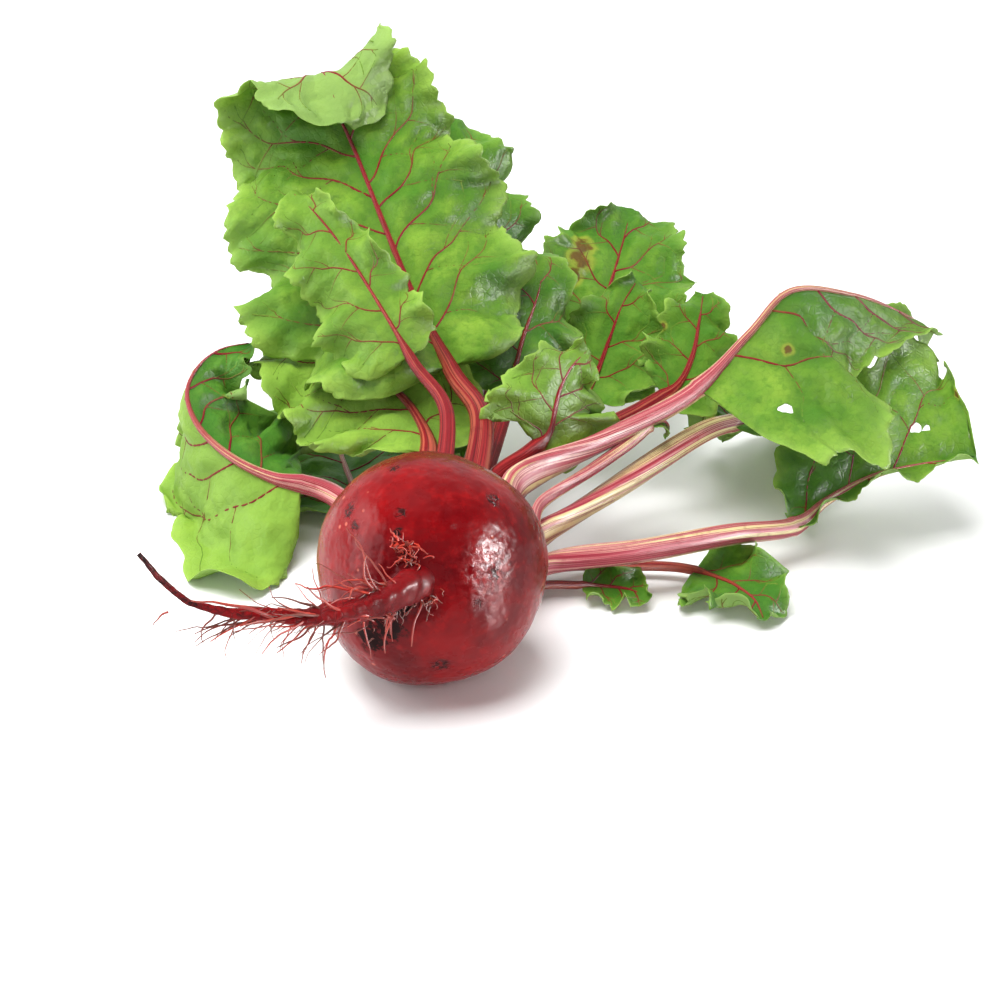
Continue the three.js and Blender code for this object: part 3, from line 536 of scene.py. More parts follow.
def skin_finish():
    """Crimson skin with pale pores, scuffs, cracked dark scars, soil marks and a brown crown."""
    f = Finish("skin")
    broad = f.noise(28, 4, 0.6)
    fine = f.noise(240, 4, 0.6)
    f.colour = f.mix(f.ramp(broad, 0.35, 0.65), srgb(86, 2, 8), srgb(130, 6, 11))
    f.tint(f.ramp(fine, 0.5, 0.75, 0, 0.3), 176, 22, 22)
    dots = f.voronoi(190, "F1")
    pores = f.times(f.ramp(dots, 0.16, 0.08), f.ramp(f.noise(60, 2), 0.5, 0.62))
    f.tint(f.times(pores, 0.7), 205, 110, 90)
    streaks = f.noise(420, 5, 0.7, distortion=0.6)
    scuffed = f.times(f.value("scuff"), f.ramp(streaks, 0.42, 0.6))
    f.tint(f.times(scuffed, 0.55), 200, 80, 80)
    broken = f.ramp(f.noise(620, 5, 0.75), 0.4, 0.58)
    scarred = f.times(f.value("scar"), broken)
    f.tint(f.ramp(scarred, 0.2, 0.5), 50, 8, 8)
    cells = f.voronoi(330, "DISTANCE_TO_EDGE")
    cracks = f.times(f.ramp(cells, 0.09, 0.0), f.ramp(f.value("scar"), 0.1, 0.4))
    f.tint(f.times(cracks, 0.9), 34, 6, 6)
    soil = f.times(f.value("soil"), f.ramp(f.noise(230, 7, 0.8, distortion=0.5), 0.34, 0.62, 0.1, 1.5))
    soil = f.ramp(soil, 0.3, 0.75)
    f.tint(soil, 30, 10, 10)
    f.tint(f.times(f.value("crown"), f.ramp(f.noise(120, 5, 0.7), 0.3, 0.7)), 112, 74, 46)
    rough = f.plus(f.ramp(f.noise(90, 4, 0.6), 0.3, 0.7, 0.22, 0.34), f.times(soil, 0.4))
    rough = f.plus(rough, f.times(f.value("soil"), 0.3))
    rough = f.minus(rough, f.times(f.value("scuff"), 0.12))
    height = f.plus(f.times(fine, 0.4), f.times(scuffed, 0.6))
    height = f.minus(height, f.times(pores, 0.5))
    height = f.plus(height, f.times(scarred, 1.2))
    height = f.minus(height, cracks)
    return f.finish(f.shader(
        Base_Color=f.colour, Roughness=rough, Normal=f.bump(height, 0.5, 0.0004), Specular_IOR_Level=0.12,
        Coat_Weight=0.03, Coat_Roughness=0.12, Sheen_Weight=0.06, Sheen_Roughness=0.3,
        Sheen_Tint=srgb(255, 190, 200)))


def rootlet_finish():
    """Orange-red young side roots with dry brown ends."""
    f = Finish("rootlet")
    end = f.value("end")
    f.colour = f.mix(f.ramp(f.noise(150, 2), 0.35, 0.65), srgb(170, 26, 18), srgb(204, 54, 30))
    f.tint(f.value("dry"), 96, 40, 28)
    f.tint(f.times(end, 0.6), 120, 50, 30)
    return f.finish(f.shader(Base_Color=f.colour, Roughness=0.5))


def stalk_finish(name, pale, base, deep, cream, cream_share, rib):
    """A stalk striped along its lane value, the place round it and the millimetres from its crown end."""
    f = Finish(name)
    lane = f.vector("lane")
    stripes = f.noise(1.0, 3, 0.6, f.stretched(lane, (3.4, 3.4, 0.006)))
    lines = f.noise(1.0, 4, 0.65, f.stretched(lane, (15, 15, 0.012)))
    broad = f.noise(1.0, 2, 0.5, f.stretched(lane, (1.5, 1.5, 0.008)))
    f.colour = f.mix(f.ramp(stripes, 0.46, 0.56), base, pale)
    f.colour = f.mix(f.ramp(lines, 0.5, 0.56, 0, 0.95), f.colour, deep)
    creamy = f.times(f.ramp(broad, 0.5, 0.55), f.ramp(lines, 0.6, 0.5))
    f.colour = f.mix(f.times(creamy, cream_share), f.colour, cream)
    f.colour = f.mix(f.value("rib"), f.colour, rib)
    f.colour = f.mix(f.times(f.ramp(f.noise(260, 3), 0.55, 0.7), 0.3), f.colour, deep)
    height = f.plus(lines, f.times(f.noise(500, 2), 0.15))
    return f.finish(f.shader(
        Base_Color=f.colour, Roughness=0.36, Normal=f.bump(height, 0.5, 0.0005), Specular_IOR_Level=0.28,
        Coat_Weight=0.08, Coat_Roughness=0.25))


def vein_finish():
    """Red where a vein leaves the midrib, and greener the thinner it gets."""
    f = Finish("vein")
    f.colour = f.mix(f.ramp(f.value("thin"), 0.1, 0.5), srgb(118, 20, 30), srgb(108, 66, 36))
    f.tint(f.ramp(f.value("thin"), 0.4, 0.8), 98, 134, 42)
    f.tint(f.ramp(f.noise(80, 3), 0.45, 0.75, 0, 0.3), 140, 128, 62)
    return f.finish(f.shader(Base_Color=f.colour, Roughness=0.6, Specular_IOR_Level=0.15))


def leaf_finish():
    """A yellow-green blade with a fine net and painted shade in its sunken veins, paler at its margin and
    below.
    """
    f = Finish("leaf")
    broad = f.noise(22, 3, 0.6)
    f.colour = f.mix(f.ramp(broad, 0.35, 0.65), srgb(78, 128, 38), srgb(130, 168, 58))
    f.tint(f.ramp(f.noise(75, 3), 0.45, 0.75, 0, 0.4), 156, 190, 68)
    f.tint(f.ramp(f.noise(320, 4, 0.7), 0.46, 0.68, 0, 0.5), 66, 120, 34)
    net = f.voronoi(420, "DISTANCE_TO_EDGE")
    cell = f.ramp(net, 0.0, 0.16)
    f.tint(f.times(f.ramp(net, 0.12, 0.0), 0.14), 76, 124, 30)
    # Painted shade: darker green in the sunken grooves along the veins.
    f.tint(f.times(f.value("near"), 0.5), 60, 108, 30)
    f.tint(f.times(f.value("margin"), 0.6), 172, 208, 96)
    # Painted light: pale brightens the leaves, and left_fold's hanging half, that the lamps leave too dark.
    f.tint(f.value("pale"), 166, 204, 84)
    # Painted shade: shade darkens the leaves that lie in shadow, and the half inside left_fold's arch.
    f.tint(f.value("shade"), 46, 118, 42)
    f.tint(f.times(f.value("under"), 0.7), 150, 182, 100)
    ring = f.times(f.value("spot"), f.ramp(f.noise(300, 3), 0.3, 0.6, 0.7, 1))
    f.tint(f.ramp(ring, 0.15, 0.4, 0, 0.6), 170, 176, 66)
    f.tint(f.ramp(ring, 0.45, 0.65, 0, 0.85), 104, 56, 34)
    height = f.plus(f.times(cell, 0.1), f.noise(170, 2))
    normal = f.bump(height, 0.45, 0.0016)
    rough = f.ramp(f.noise(60, 3), 0.3, 0.7, 0.44, 0.6)
    surface = f.shader(Base_Color=f.colour, Roughness=rough, Normal=normal, Specular_IOR_Level=0.2)
    through = f.add("ShaderNodeBsdfTranslucent", {
        "Color": f.mix(0.5, f.colour, srgb(180, 216, 56)), "Normal": normal}).outputs[0]
    return f.finish(f.add("ShaderNodeMixShader", {0: 0.25, 1: surface, 2: through}).outputs[0])


# The swollen root, its tap root and its side roots

ROOT_DETAIL = 7
CROWN_ROUGHNESS = 0.05
NECK_FLARE, NECK_SOIL, NECK_FOLDS = 7, 10, 22  # how many degrees round the tap root's neck each reaches
TAP_STEPS = 220
TAP_SIDES = 28
# Places on the skin, and how far each one's mark spreads
SCARS = [
    ((-25.4, -9.7, 62.2), 2.6), ((-23.6, -16.4, 60.5), 2), ((-28.7, -16.9, 53.6), 1.6),
    ((-10.5, -2, 72.2), 1.6), ((20.2, -10.5, 66.1), 2.2), ((21.5, -28, 49.2), 2.6),
    ((16.2, -33.5, 41.7), 2), ((3.6, -33.1, 18.7), 3), ((8.5, -23.5, 64.3), 1.2),
    ((-8.5, -19.9, 66.9), 1.8), ((26, 8, 60), 2.4), ((-30, 12, 44), 2.2), ((34, 4, 30), 2),
    ((-20, -22, 20), 2.4), ((12, 10, 71), 1.6)]
SOIL = [
    ((-13.1, -35.2, 35.6), 8), ((-17.4, -32.4, 28.5), 7), ((-6, -34, 43), 5.5), ((-11, -27, 60), 2.6),
    ((0, -31, 58), 2.6), ((-7, -29, 57), 3), ((-9, -24, 62), 2)]
SCUFF = ((20.8, -27.7, 50.8), 8)
SCUFF_STRETCH = (2.4, 1, 0.7)


def root_radius(direction):
    """The distance from the swollen root's centre to its skin, as in the solids."""
    out, right, above = direction @ CROWN_OUT, direction @ CROWN_RIGHT, direction @ CROWN_ABOVE
    globe = ROOT_RADIUS / np.sqrt(right**2 + above**2 + (out / ROOT_FLATTENING) ** 2)
    crown = CROWN_RISE * np.exp(-(1 - out) / CROWN_REACH)
    dimple = -DIMPLE_DEPTH * np.exp(-(1 + out) / DIMPLE_REACH) * (1 - np.exp(-(1 + out) / DIMPLE_MIDDLE))
    lumps = (LUMPS[0] * np.sin(3.1 * right + 1.2) * np.cos(2.3 * above - 0.4)
             + LUMPS[1] * np.sin(4.2 * above + 2.6 * out)
             + LUMPS[2] * np.cos(5.3 * right - 2.1 * out + 0.8))
    return globe + crown + dimple + lumps + SHOULDERS * (right**2 - above**2) * out


def bumpy(points, size, octaves=3):
    """Smooth noise at points, its lumps about size millimetres across."""
    return np.array([noise.fractal(point / size, 1.0, 2.0, octaves) for point in points])


def nearness(points, places):
    """How near points are to the nearest of some places, 1 there and 0 well outside their spread."""
    near = np.zeros(len(points))
    for place, spread in places:
        near = np.maximum(near, bell(np.linalg.norm(points - np.array(place), axis=1) / spread))
    return near


def add_swollen_root(builder):
    ball = bmesh.new()
    bmesh.ops.create_icosphere(ball, subdivisions=ROOT_DETAIL, radius=1)
    directions = unit(np.array([vertex.co[:] for vertex in ball.verts]))
    faces = [[vertex.index for vertex in face.verts] for face in ball.faces]
    ball.free()
    skin = ROOT_CENTRE + directions * root_radius(directions)[:, None]
    out = directions @ CROWN_OUT
    neck = unit(np.array(TAP_PATH[1], float) - ROOT_CENTRE)
    from_neck = np.degrees(np.arccos(np.clip(directions @ neck, -1, 1)))
    flare = bell(from_neck / NECK_FLARE)
    folds = 0.3 * bumpy(skin, 2.4) * bell(from_neck / NECK_FOLDS)
    scar, soil = nearness(skin, SCARS), nearness(skin, SOIL)
    scuff = nearness(skin, [SCUFF])
    crown = np.exp(-(1 - out) / CROWN_ROUGHNESS)
    scuffed = bumpy(skin * np.array(SCUFF_STRETCH), 1.5, 2)
    relief = (0.18 * bumpy(skin, 6) + 0.10 * bumpy(skin, 1.6, 2) + flare + folds
              - 0.45 * scar * (0.5 + bumpy(skin, 1.1, 2)) + 0.25 * soil * bumpy(skin, 1.3, 2)
              + 0.2 * scuff * scuffed + 0.9 * crown * bumpy(skin, 2.2))
    skin = skin + directions * relief[:, None]
    skin[:, 2] = np.maximum(skin[:, 2], 0)
    neck_soil = 0.35 * bell(from_neck / NECK_SOIL)
    builder.add(skin, faces, scar=scar, soil=np.maximum(soil, neck_soil), scuff=scuff, crown=crown)


def add_tap_root(builder):
    """The tap root: a little unsteady, and twisted, grained and wrinkled once it is clear of its neck."""
    share = np.linspace(0, 1, TAP_STEPS)
    middles = smooth_curve(TAP_PATH, share)
    unsteady = np.stack([bumpy(middles + shift, 7, 2) for shift in (0, 40, 80)], 1)
    middles = middles + 0.35 * unsteady * ease(share * 4)[:, None]
    angles, down = round_angles(TAP_SIDES), share[:, None]
    rows = np.stack(np.broadcast_arrays(down * 60, np.cos(angles) * 1.3, np.sin(angles) * 1.3), -1)
    grain = bumpy(rows.reshape(-1, 3), 1.2).reshape(TAP_STEPS, TAP_SIDES)
    strands = 0.18 * np.cos(3 * angles + 9 * down) + 0.05 * np.cos(5 * angles - 14 * down)
    wrinkles = 0.05 * np.sin(down * 150 + 2.5 * np.cos(angles)) * ease(down * 5)
    relief = 1 + 0.10 * grain + strands * ease(down * 3) + wrinkles
    values = dict(scar=0.25 * ease(share * 3), soil=0.3 + 0.25 * ease((share - 0.4) / 0.6), scuff=0, crown=0)
    add_tube(builder, middles, along(TAP_RADII, share), TAP_SIDES, relief, **values)


ROOTLET_SEED = 11
ROOTLET_ABOVE_FLOOR = 0.6
# Tufts and rows of side roots: where they leave and how far that spreads, where they point and how wide they
# fan, their number, least and greatest length, how they sag and wander, their radius and how dry they are
TUFTS = [
    ((-8.3, -28.1, 59.3), (2.4, 1.2, 2.2), (0, -0.55, 0.55), 0.7, 30, (4, 10), 0.08, 0.5, 0.36, 0.05),
    ((-4.2, -30.5, 56.6), (2.2, 1.2, 1.8), (-0.2, -0.6, 0.3), 0.9, 18, (3, 8), 0.1, 0.4, 0.36, 0.35),
    ((-1.5, -36.2, 45.8), (4, 0.8, 1.6), (0.1, -0.7, -0.2), 0.9, 42, (3, 8), 0.2, 0.45, 0.33, 0.6),
    ((-9, -37, 46.5), (4.5, 1.2, 1.2), (-0.5, -0.2, -0.8), 0.3, 6, (14, 24), 0.16, 0.12, 0.42, 0),
    ((-8, -37, 44), (4.5, 1.2, 1.6), (-0.2, -0.6, -0.5), 0.9, 46, (3, 9), 0.2, 0.5, 0.24, 0.8),
    ((-22, -44.5, 45), (6, 1.2, 1.4), (-0.9, -0.1, -0.25), 0.4, 14, (12, 26), 0.1, 0.2, 0.4, 0.45),
    ((-30, -45.5, 45), (9, 1.2, 1.4), (-0.95, -0.1, -0.05), 0.22, 34, (8, 24), 0.03, 0.18, 0.26, 0.75),
    ((-34, -46.8, 45.6), (8, 1, 1.2), (-0.95, -0.05, 0.02), 0.16, 26, (14, 28), 0.03, 0.12, 0.55, 0.5),
    ((-14, -40, 51), (6, 1.5, 1.2), (-0.9, -0.1, 0.2), 0.3, 16, (10, 24), 0.02, 0.2, 0.4, 0.4),
    ((-52, -48, 47), (9, 0.8, 0.8), (-0.8, -0.2, -0.3), 0.5, 10, (5, 12), 0.1, 0.25, 0.36, 0.8),
    ((-19, -34, 34), (3, 1, 4), (-0.2, -0.8, -0.2), 0.8, 12, (2, 5), 0.2, 0.3, 0.3, 0.9),
]
ROOTLET_BENDS = 9
ROOTLET_STEPS = 18
ROOTLET_SIDES = 5
ROOTLET_SINK = 0.8
ROOTLET_TAPER = 0.65
NEAR_SKIN = 6
LEAST_RISE = 0.5


def rootlet_points(start, direction, length, random, sag, wander):
    """A thin root from start: out along its direction, then bending down and wandering."""
    points = [start]
    heading = unit(direction)
    for _ in range(ROOTLET_BENDS):
        heading = unit(heading + wander * random.normal(size=3) + np.array([0, 0, -sag]))
        points.append(points[-1] + heading * length / ROOTLET_BENDS)
    return np.array(points)


def make_rootlets(finish):
    random = np.random.default_rng(ROOTLET_SEED)
    builder = Builder("end", "dry")
    share = np.linspace(0, 1, ROOTLET_STEPS)
    for place, spread, pointing, fan, number, lengths, sag, wander, radius, dryness in TUFTS:
        for _ in range(number):
            start = np.array(place) + random.normal(size=3) * spread
            heading = unit(np.array(pointing) + fan * random.normal(size=3))
            away = unit(start - ROOT_CENTRE)
            skin = ROOT_CENTRE + away * (root_radius(away) - ROOTLET_SINK)
            if np.linalg.norm(start - ROOT_CENTRE) < np.linalg.norm(skin - ROOT_CENTRE) + NEAR_SKIN:
                start = skin
                heading = unit(heading + away * max(0.0, LEAST_RISE - heading @ away))
            length = random.uniform(*lengths)
            middles = smooth_curve(rootlet_points(start, heading, length, random, sag, wander), share)
            middles[:, 2] = np.maximum(middles[:, 2], ROOTLET_ABOVE_FLOOR)
            radii = radius * random.uniform(0.7, 1.25) * (1 - ROOTLET_TAPER * share**1.5)
            dry = np.clip(dryness + 0.3 * random.normal(), 0, 1)
            add_tube(builder, middles, radii, ROOTLET_SIDES, end=share**2, dry=dry)
    made = builder.piece("rootlets", finish)
    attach(made, "root")


def make_root(finish):
    builder = Builder("scar", "soil", "scuff", "crown")
    add_swollen_root(builder)
    add_tap_root(builder)
    made = builder.piece("beet", finish)
    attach(made, "root")
    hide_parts("root")


# Stalks with their midribs

STALK_SIDES = 36
STALK_STEP = 1.8
RIDGES = 11
STEM_RIDGE, STEM_RIDGE_LOSS, RIB_RIDGE = 0.035, 0.015, 0.02
BROADENING = 14
RIB_END = 0.97
RIB_SLIMMING = 0.12
RIB_REST = 0.05
EARLY_THINNING, EARLY_RUN = 0.22, 0.2
LATE_THINNING, LATE_START, LATE_RUN = 0.4, 0.7, 0.27


def stalk_rings(middle, up, right, half_across, half_high, groove, ridge):
    """Rings of points round a stalk or midrib, ridged lengthwise and with a groove along the upper side."""
    angles = round_angles(STALK_SIDES)
    high = np.sin(angles)
    ribs = 1 + ridge[:, None] * np.cos(RIDGES * angles)
    across = half_across[:, None] * np.cos(angles) * ribs
    raised = half_high[:, None] * high * ribs - groove[:, None] * np.maximum(0, high) ** GROOVE_SHARPNESS
    return middle[:, None] + right[:, None] * across[..., None] + up[:, None] * raised[..., None]


def make_stalk(leaf, line, finish):
    steps = max(8, round(line.base / STALK_STEP))
    share = np.linspace(0, 1, steps, endpoint=False)
    middle, _, up, right = line.at(share * line.base)
    sheath = 1 + SHEATH_WIDENING * (1 - ease(share * line.base / SHEATH_LENGTH))
    width, end_width = leaf["stalk"]
    half_across = (width + (end_width - width) * share**STALK_TAPER) / 2 * sheath
    broadened = (leaf["broad"] - 1) * ease(share * line.base / BROADENING) * (1 - share**3)
    half_across = half_across * (1 + broadened)
    half_high = half_across * (FLATNESS_AT_CROWN + FLATNESS_GAIN * share)
    groove = half_high * GROOVE_DEPTH * (1 - share)
    ridge = STEM_RIDGE - STEM_RIDGE_LOSS * share
    stem = stalk_rings(middle, up, right, half_across, half_high, groove, ridge)
    rib_steps = max(20, round((line.length - line.base) / STALK_STEP))
    rib_share = np.linspace(0, RIB_END, rib_steps)
    late = ease((rib_share - LATE_START) / LATE_RUN)
    thinned = 1 - EARLY_THINNING * ease(rib_share / EARLY_RUN) - LATE_THINNING * late
    radius = rib_radius(leaf, rib_share) * thinned
    radius = radius * (1 - (1 - leaf["slim"]) * ease(rib_share / RIB_SLIMMING))
    middle, _, up, right = line.on_blade(rib_share)
    rib = stalk_rings(middle, up, right, radius, radius, 0 * radius, RIB_RIDGE * (1 - rib_share))
    rings = np.concatenate([stem, rest(rib, leaf["layer"] + RIB_REST)])
    run = np.concatenate([share * line.base, line.base + rib_share * (line.length - line.base)])
    angles = round_angles(STALK_SIDES)
    lane = np.stack(np.broadcast_arrays(np.cos(angles), np.sin(angles), run[:, None]), -1)
    lane = np.vstack([lane.reshape(-1, 3), [0, 0, run[0]], [0, 0, run[-1]]])
    lane = lane + np.array([leaf["tone"] * 7, leaf["tone"] * 3, 0])
    reddening = np.concatenate([0 * share, ease(rib_share / 0.6)]) * leaf["reddens"]
    reddening = np.concatenate([np.repeat(reddening, STALK_SIDES), [reddening[0], reddening[-1]]])
    points = np.vstack([rings.reshape(-1, 3), rings[0].mean(0), rings[-1].mean(0)])
    builder = Builder("lane", "rib")
    builder.add(points, loft_faces(len(rings), STALK_SIDES), lane=lane, rib=reddening)
    made = builder.piece(f"stalk_{leaf['name']}_fine", finish)
    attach(made, "root")
    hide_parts(f"stalk_{leaf['name']}")


# Blades and their side veins

ROW_LENGTH, LEAST_ROWS, MOST_ROWS = 0.8, 40, 200
COLUMN_WIDTH, LEAST_COLUMNS, MOST_COLUMNS = 1.5, 12, 34
COLUMN_CROWDING = 0.92
END_CROWDING = 0.45
SHEET_HALF = 0.2
MARGIN_THINNING = 0.45
LOWEST_MIDDLE, LOWEST_UNDERSIDE = 0.5, 0.05
PUCKER = 1.8
PUCKER_WIDTH = 3.6
LUMP_HEIGHT, LUMP_SIZE = 1.6, 9
MARGIN_SHARPNESS, TOOTH_SHARPNESS, CRINKLE_SHARPNESS = 9, 6, 3.5
VEIN_SPACING = 21
VEIN_END = 0.985
BRANCHES, BRANCH_SPACING = 4, 5
VEIN_STEPS, BRANCH_STEPS = 26, 12


def vein_paths(leaf, line, random):
    """Side veins and their branches, as lists of (share of the length, signed share of the half width)."""
    blade_length = line.length - line.base
    veins = []
    for side in (0, 1):
        sign = 1 if side else -1
        width = leaf["half"][side]
        number = max(3, round(blade_length / VEIN_SPACING))
        for k in range(number):
            start = 0.05 + 0.85 * (k + 0.5 * side + random.uniform(-0.12, 0.12)) / number
            reach = 0.93 if start < 0.75 else 0.8
            forward = width / blade_length * random.uniform(0.62, 0.85)
            t = np.linspace(0, reach, VEIN_STEPS)
            bowed = forward * (t + 0.35 * t**2.2) + 0.012 * turns(1.7 * t + random.uniform())
            left = VEIN_END - start
            share = start + left * (1 - np.exp(-bowed / left))
            veins.append((1, share, sign * t))
            for j in range(BRANCHES):
                at = BRANCH_SPACING * (j + 1) + int(random.integers(0, 3))
                if at >= VEIN_STEPS - 2:
                    continue
                ahead = 1 if j % 2 else -1
                u = np.linspace(0, 1, BRANCH_STEPS)
                grow = (reach - t[at]) * random.uniform(0.6, 0.9)
                branch_t = t[at] + grow * u * (0.75 if ahead > 0 else 1.0)
                step = ahead * (0.5 * width / blade_length) * grow * (u + 0.3 * u**2)
                along_vein = (np.interp(branch_t, t, share) - share[at]) * (1.0 if ahead > 0 else 0.35)
                own = share[at] + along_vein + step
                veins.append((2, np.clip(own, 0.01, VEIN_END), sign * np.minimum(branch_t, 0.95)))
    return veins


def line_noise(run, size, shift):
    """Smooth noise along a line, its waves about size millimetres long."""
    return np.array([noise.noise((place / size, shift, 0.37)) for place in run])


def margin_relief(leaf, run, side):
    """How far a half's margin stands out in its plane, and how far it waves out of it, along the blade."""
    ragged = leaf["ragged"]
    shift = 7.3 * leaf["tone"] + 3.1 * side
    scallops = np.abs(np.sin(np.pi * (run / 4.2 + 0.9 * line_noise(run, 9, shift + 5))))
    outwards = 0.1 + 3.4 * ragged * line_noise(run, 10, shift) + 1.9 * (scallops - 0.7)
    waving = 5.6 * line_noise(run, 12, shift + 23) + 4.0 * line_noise(run, 5.2, shift + 31)
    return outwards, waving * ragged


def grid_normals(points):
    along_rows = np.gradient(points, axis=0)
    along_columns = np.gradient(points, axis=1)
    return unit(np.cross(along_columns, along_rows) + 1e-12)


def cut_holes(leaf, blade_length, share, reach):
    """Tells which faces of a blade's grid stay, and moves the points round each hole onto its edge."""
    keep = np.ones((share.shape[0] - 1, share.shape[1] - 1), bool)
    first, second = slice(0, -1), slice(1, None)
    corners = ((first, first), (second, first), (first, second), (second, second))
    for hole_share, hole_reach, hole_radius in leaf["holes"]:
        x, y = reach - hole_reach, (share - hole_share) * blade_length
        angle = np.arctan2(y, x)
        radius = hole_radius * (1 + 0.14 * np.sin(3 * angle + hole_reach) + 0.08 * np.sin(5 * angle))
        inside = np.hypot(x, y) < radius
        cut = sum(inside[corner].astype(int) for corner in corners) >= 3
        keep &= ~cut
        touched = np.zeros_like(inside)
        for corner in corners:
            touched[corner] |= cut
        size = np.maximum(np.hypot(x, y), 1e-6)
        reach = np.where(touched, hole_reach + x / size * radius, reach)
        share = np.where(touched, hole_share + y / size * radius / blade_length, share)
    return keep, share, reach


def vein_distance(leaf, line, veins, points, share, reach):
    """How far each point of a blade is from its nearest vein or its midrib."""
    near = np.maximum(0, np.abs(reach) - rib_radius(leaf, share))
    for order, vein_share, vein_t in veins:
        vein_width = np.where(vein_t > 0, half_width(leaf, 1, vein_share), half_width(leaf, 0, vein_share))
        path = blade_points(leaf, line, vein_share, vein_t * vein_width)
        gaps = np.linalg.norm(points[:, :, None] - path, axis=-1).min(-1)
        near = np.minimum(near, gaps + (0 if order == 1 else 0.8))
    return near


def sheet_faces(keep):
    """Faces of a closed sheet over a grid's kept cells, its lower points numbered after the upper."""
    rows, columns = keep.shape
    numbers = np.arange((rows + 1) * (columns + 1)).reshape(rows + 1, columns + 1)
    below = numbers.size
    faces, edges = [], {}
    for row, column in zip(*np.nonzero(keep)):
        a, b = numbers[row, column], numbers[row, column + 1]
        c, d = numbers[row + 1, column + 1], numbers[row + 1, column]
        faces += [(a, b, c, d), (d + below, c + below, b + below, a + below)]
        for edge in ((a, b), (b, c), (c, d), (d, a)):
            edges[edge] = True
    for start, end in edges:
        if (end, start) not in edges:
            faces.append((end, start, start + below, end + below))
    return faces


def twice(grid):
    """The values of a grid for a sheet's upper points and again for its lower ones."""
    return np.concatenate([grid.ravel(), grid.ravel()])


def make_blade(leaf, line, leaf_material, vein_material, seed):
    blade_length = line.length - line.base
    row_count = int(np.clip(blade_length / ROW_LENGTH, LEAST_ROWS, MOST_ROWS))
    column_count = int(np.clip(max(leaf["half"]) / COLUMN_WIDTH, LEAST_COLUMNS, MOST_COLUMNS))
    even = np.linspace(0, 1, row_count + 1)
    row_shares = (1 - END_CROWDING) * even + END_CROWDING * (0.5 - 0.5 * np.cos(np.pi * even))
    relief = [margin_relief(leaf, row_shares * blade_length, side) for side in (0, 1)]
    share, across = np.meshgrid(row_shares, np.linspace(-1, 1, 2 * column_count + 1), indexing="ij")
    teeth, waving = (np.where(across > 0, relief[1][k][:, None], relief[0][k][:, None]) for k in (0, 1))
    t = np.abs(across) ** COLUMN_CROWDING
    width = np.where(across > 0, half_width(leaf, 1, share), half_width(leaf, 0, share))
    teeth *= ease(share / 0.08) * ease((1 - share) / 0.05) * np.minimum(1, width / 20)
    reach = np.sign(across) * (t * width + teeth * t**TOOTH_SHARPNESS)
    keep, share, reach = cut_holes(leaf, blade_length, share, reach)
    points = blade_points(leaf, line, share, reach)
    veins = vein_paths(leaf, line, np.random.default_rng(seed))
    sunk = bell(vein_distance(leaf, line, veins, points, share, reach) / PUCKER_WIDTH)
    crinkle = waving * t**CRINKLE_SHARPNESS * ease(share / 0.1) * np.minimum(1, width / 25)
    lumps = bumpy(points.reshape(-1, 3) + 100 * leaf["tone"], LUMP_SIZE).reshape(share.shape)
    lift = PUCKER * (1 - sunk) * leaf["pucker"] + crinkle + LUMP_HEIGHT * lumps * (1 - 0.7 * sunk)
    points = points + grid_normals(points) * lift[..., None]
    points[..., 2] = np.maximum(points[..., 2], LOWEST_MIDDLE)
    thick = grid_normals(points) * (SHEET_HALF * (1 - MARGIN_THINNING * t**4))[..., None]
    lower = points - thick
    lower[..., 2] = np.maximum(lower[..., 2], LOWEST_UNDERSIDE)
    sheet = np.concatenate([(points + thick).reshape(-1, 3), lower.reshape(-1, 3)])
    faces = sheet_faces(keep)
    used = np.unique(faces)
    renumber = np.full(len(sheet), -1)
    renumber[used] = np.arange(len(used))
    spot = np.zeros(share.shape)
    for spot_share, spot_reach, spot_radius in leaf["spots"]:
        distance = np.hypot(reach - spot_reach, (share - spot_share) * blade_length)
        spot = np.maximum(spot, bell(distance / spot_radius))
    # Painted shade for leaves that lie in shadow, and for the half inside left_fold's arch
    shade = leaf["shade"] + np.where(reach > 0, leaf["inner_shade"], 0)
    # Painted light for the leaves, and the hanging outer half, that the lamps leave too dark
    pale = leaf["pale"] + np.where(reach > 0, 0, leaf["outer_painted_light"])
    margin = np.clip(t, 0, 1) ** MARGIN_SHARPNESS
    # near carries the painted shade of the sunken veins to the finish.
    values = dict(near=sunk, margin=margin, shade=shade, pale=pale, spot=spot)
    under = np.repeat([0, 1], share.size)
    builder = Builder("near", "margin", "under", "shade", "pale", "spot")
    builder.add(sheet[used], renumber[np.array(faces)], under=under[used],
                **{name: twice(grid)[used] for name, grid in values.items()})
    made = builder.piece(f"blade_{leaf['name']}_fine", leaf_material)
    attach(made, "root")
    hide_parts(f"blade_{leaf['name']}")
    make_veins(leaf, veins, row_shares, points, vein_material)


VEIN_RADII = {1: (0.54, 0.29), 2: (0.32, 0.28)}
VEIN_SIDES = {1: 6, 2: 5}


def between(grid, row, column):
    """Points between those of a grid, at places given in rows and columns."""
    above = np.clip(row.astype(int), 0, grid.shape[0] - 2)
    before = np.clip(column.astype(int), 0, grid.shape[1] - 2)
    down, over = (row - above)[:, None], (column - before)[:, None]
    upper = grid[above, before] * (1 - over) + grid[above, before + 1] * over
    lower = grid[above + 1, before] * (1 - over) + grid[above + 1, before + 1] * over
    return upper * (1 - down) + lower * down


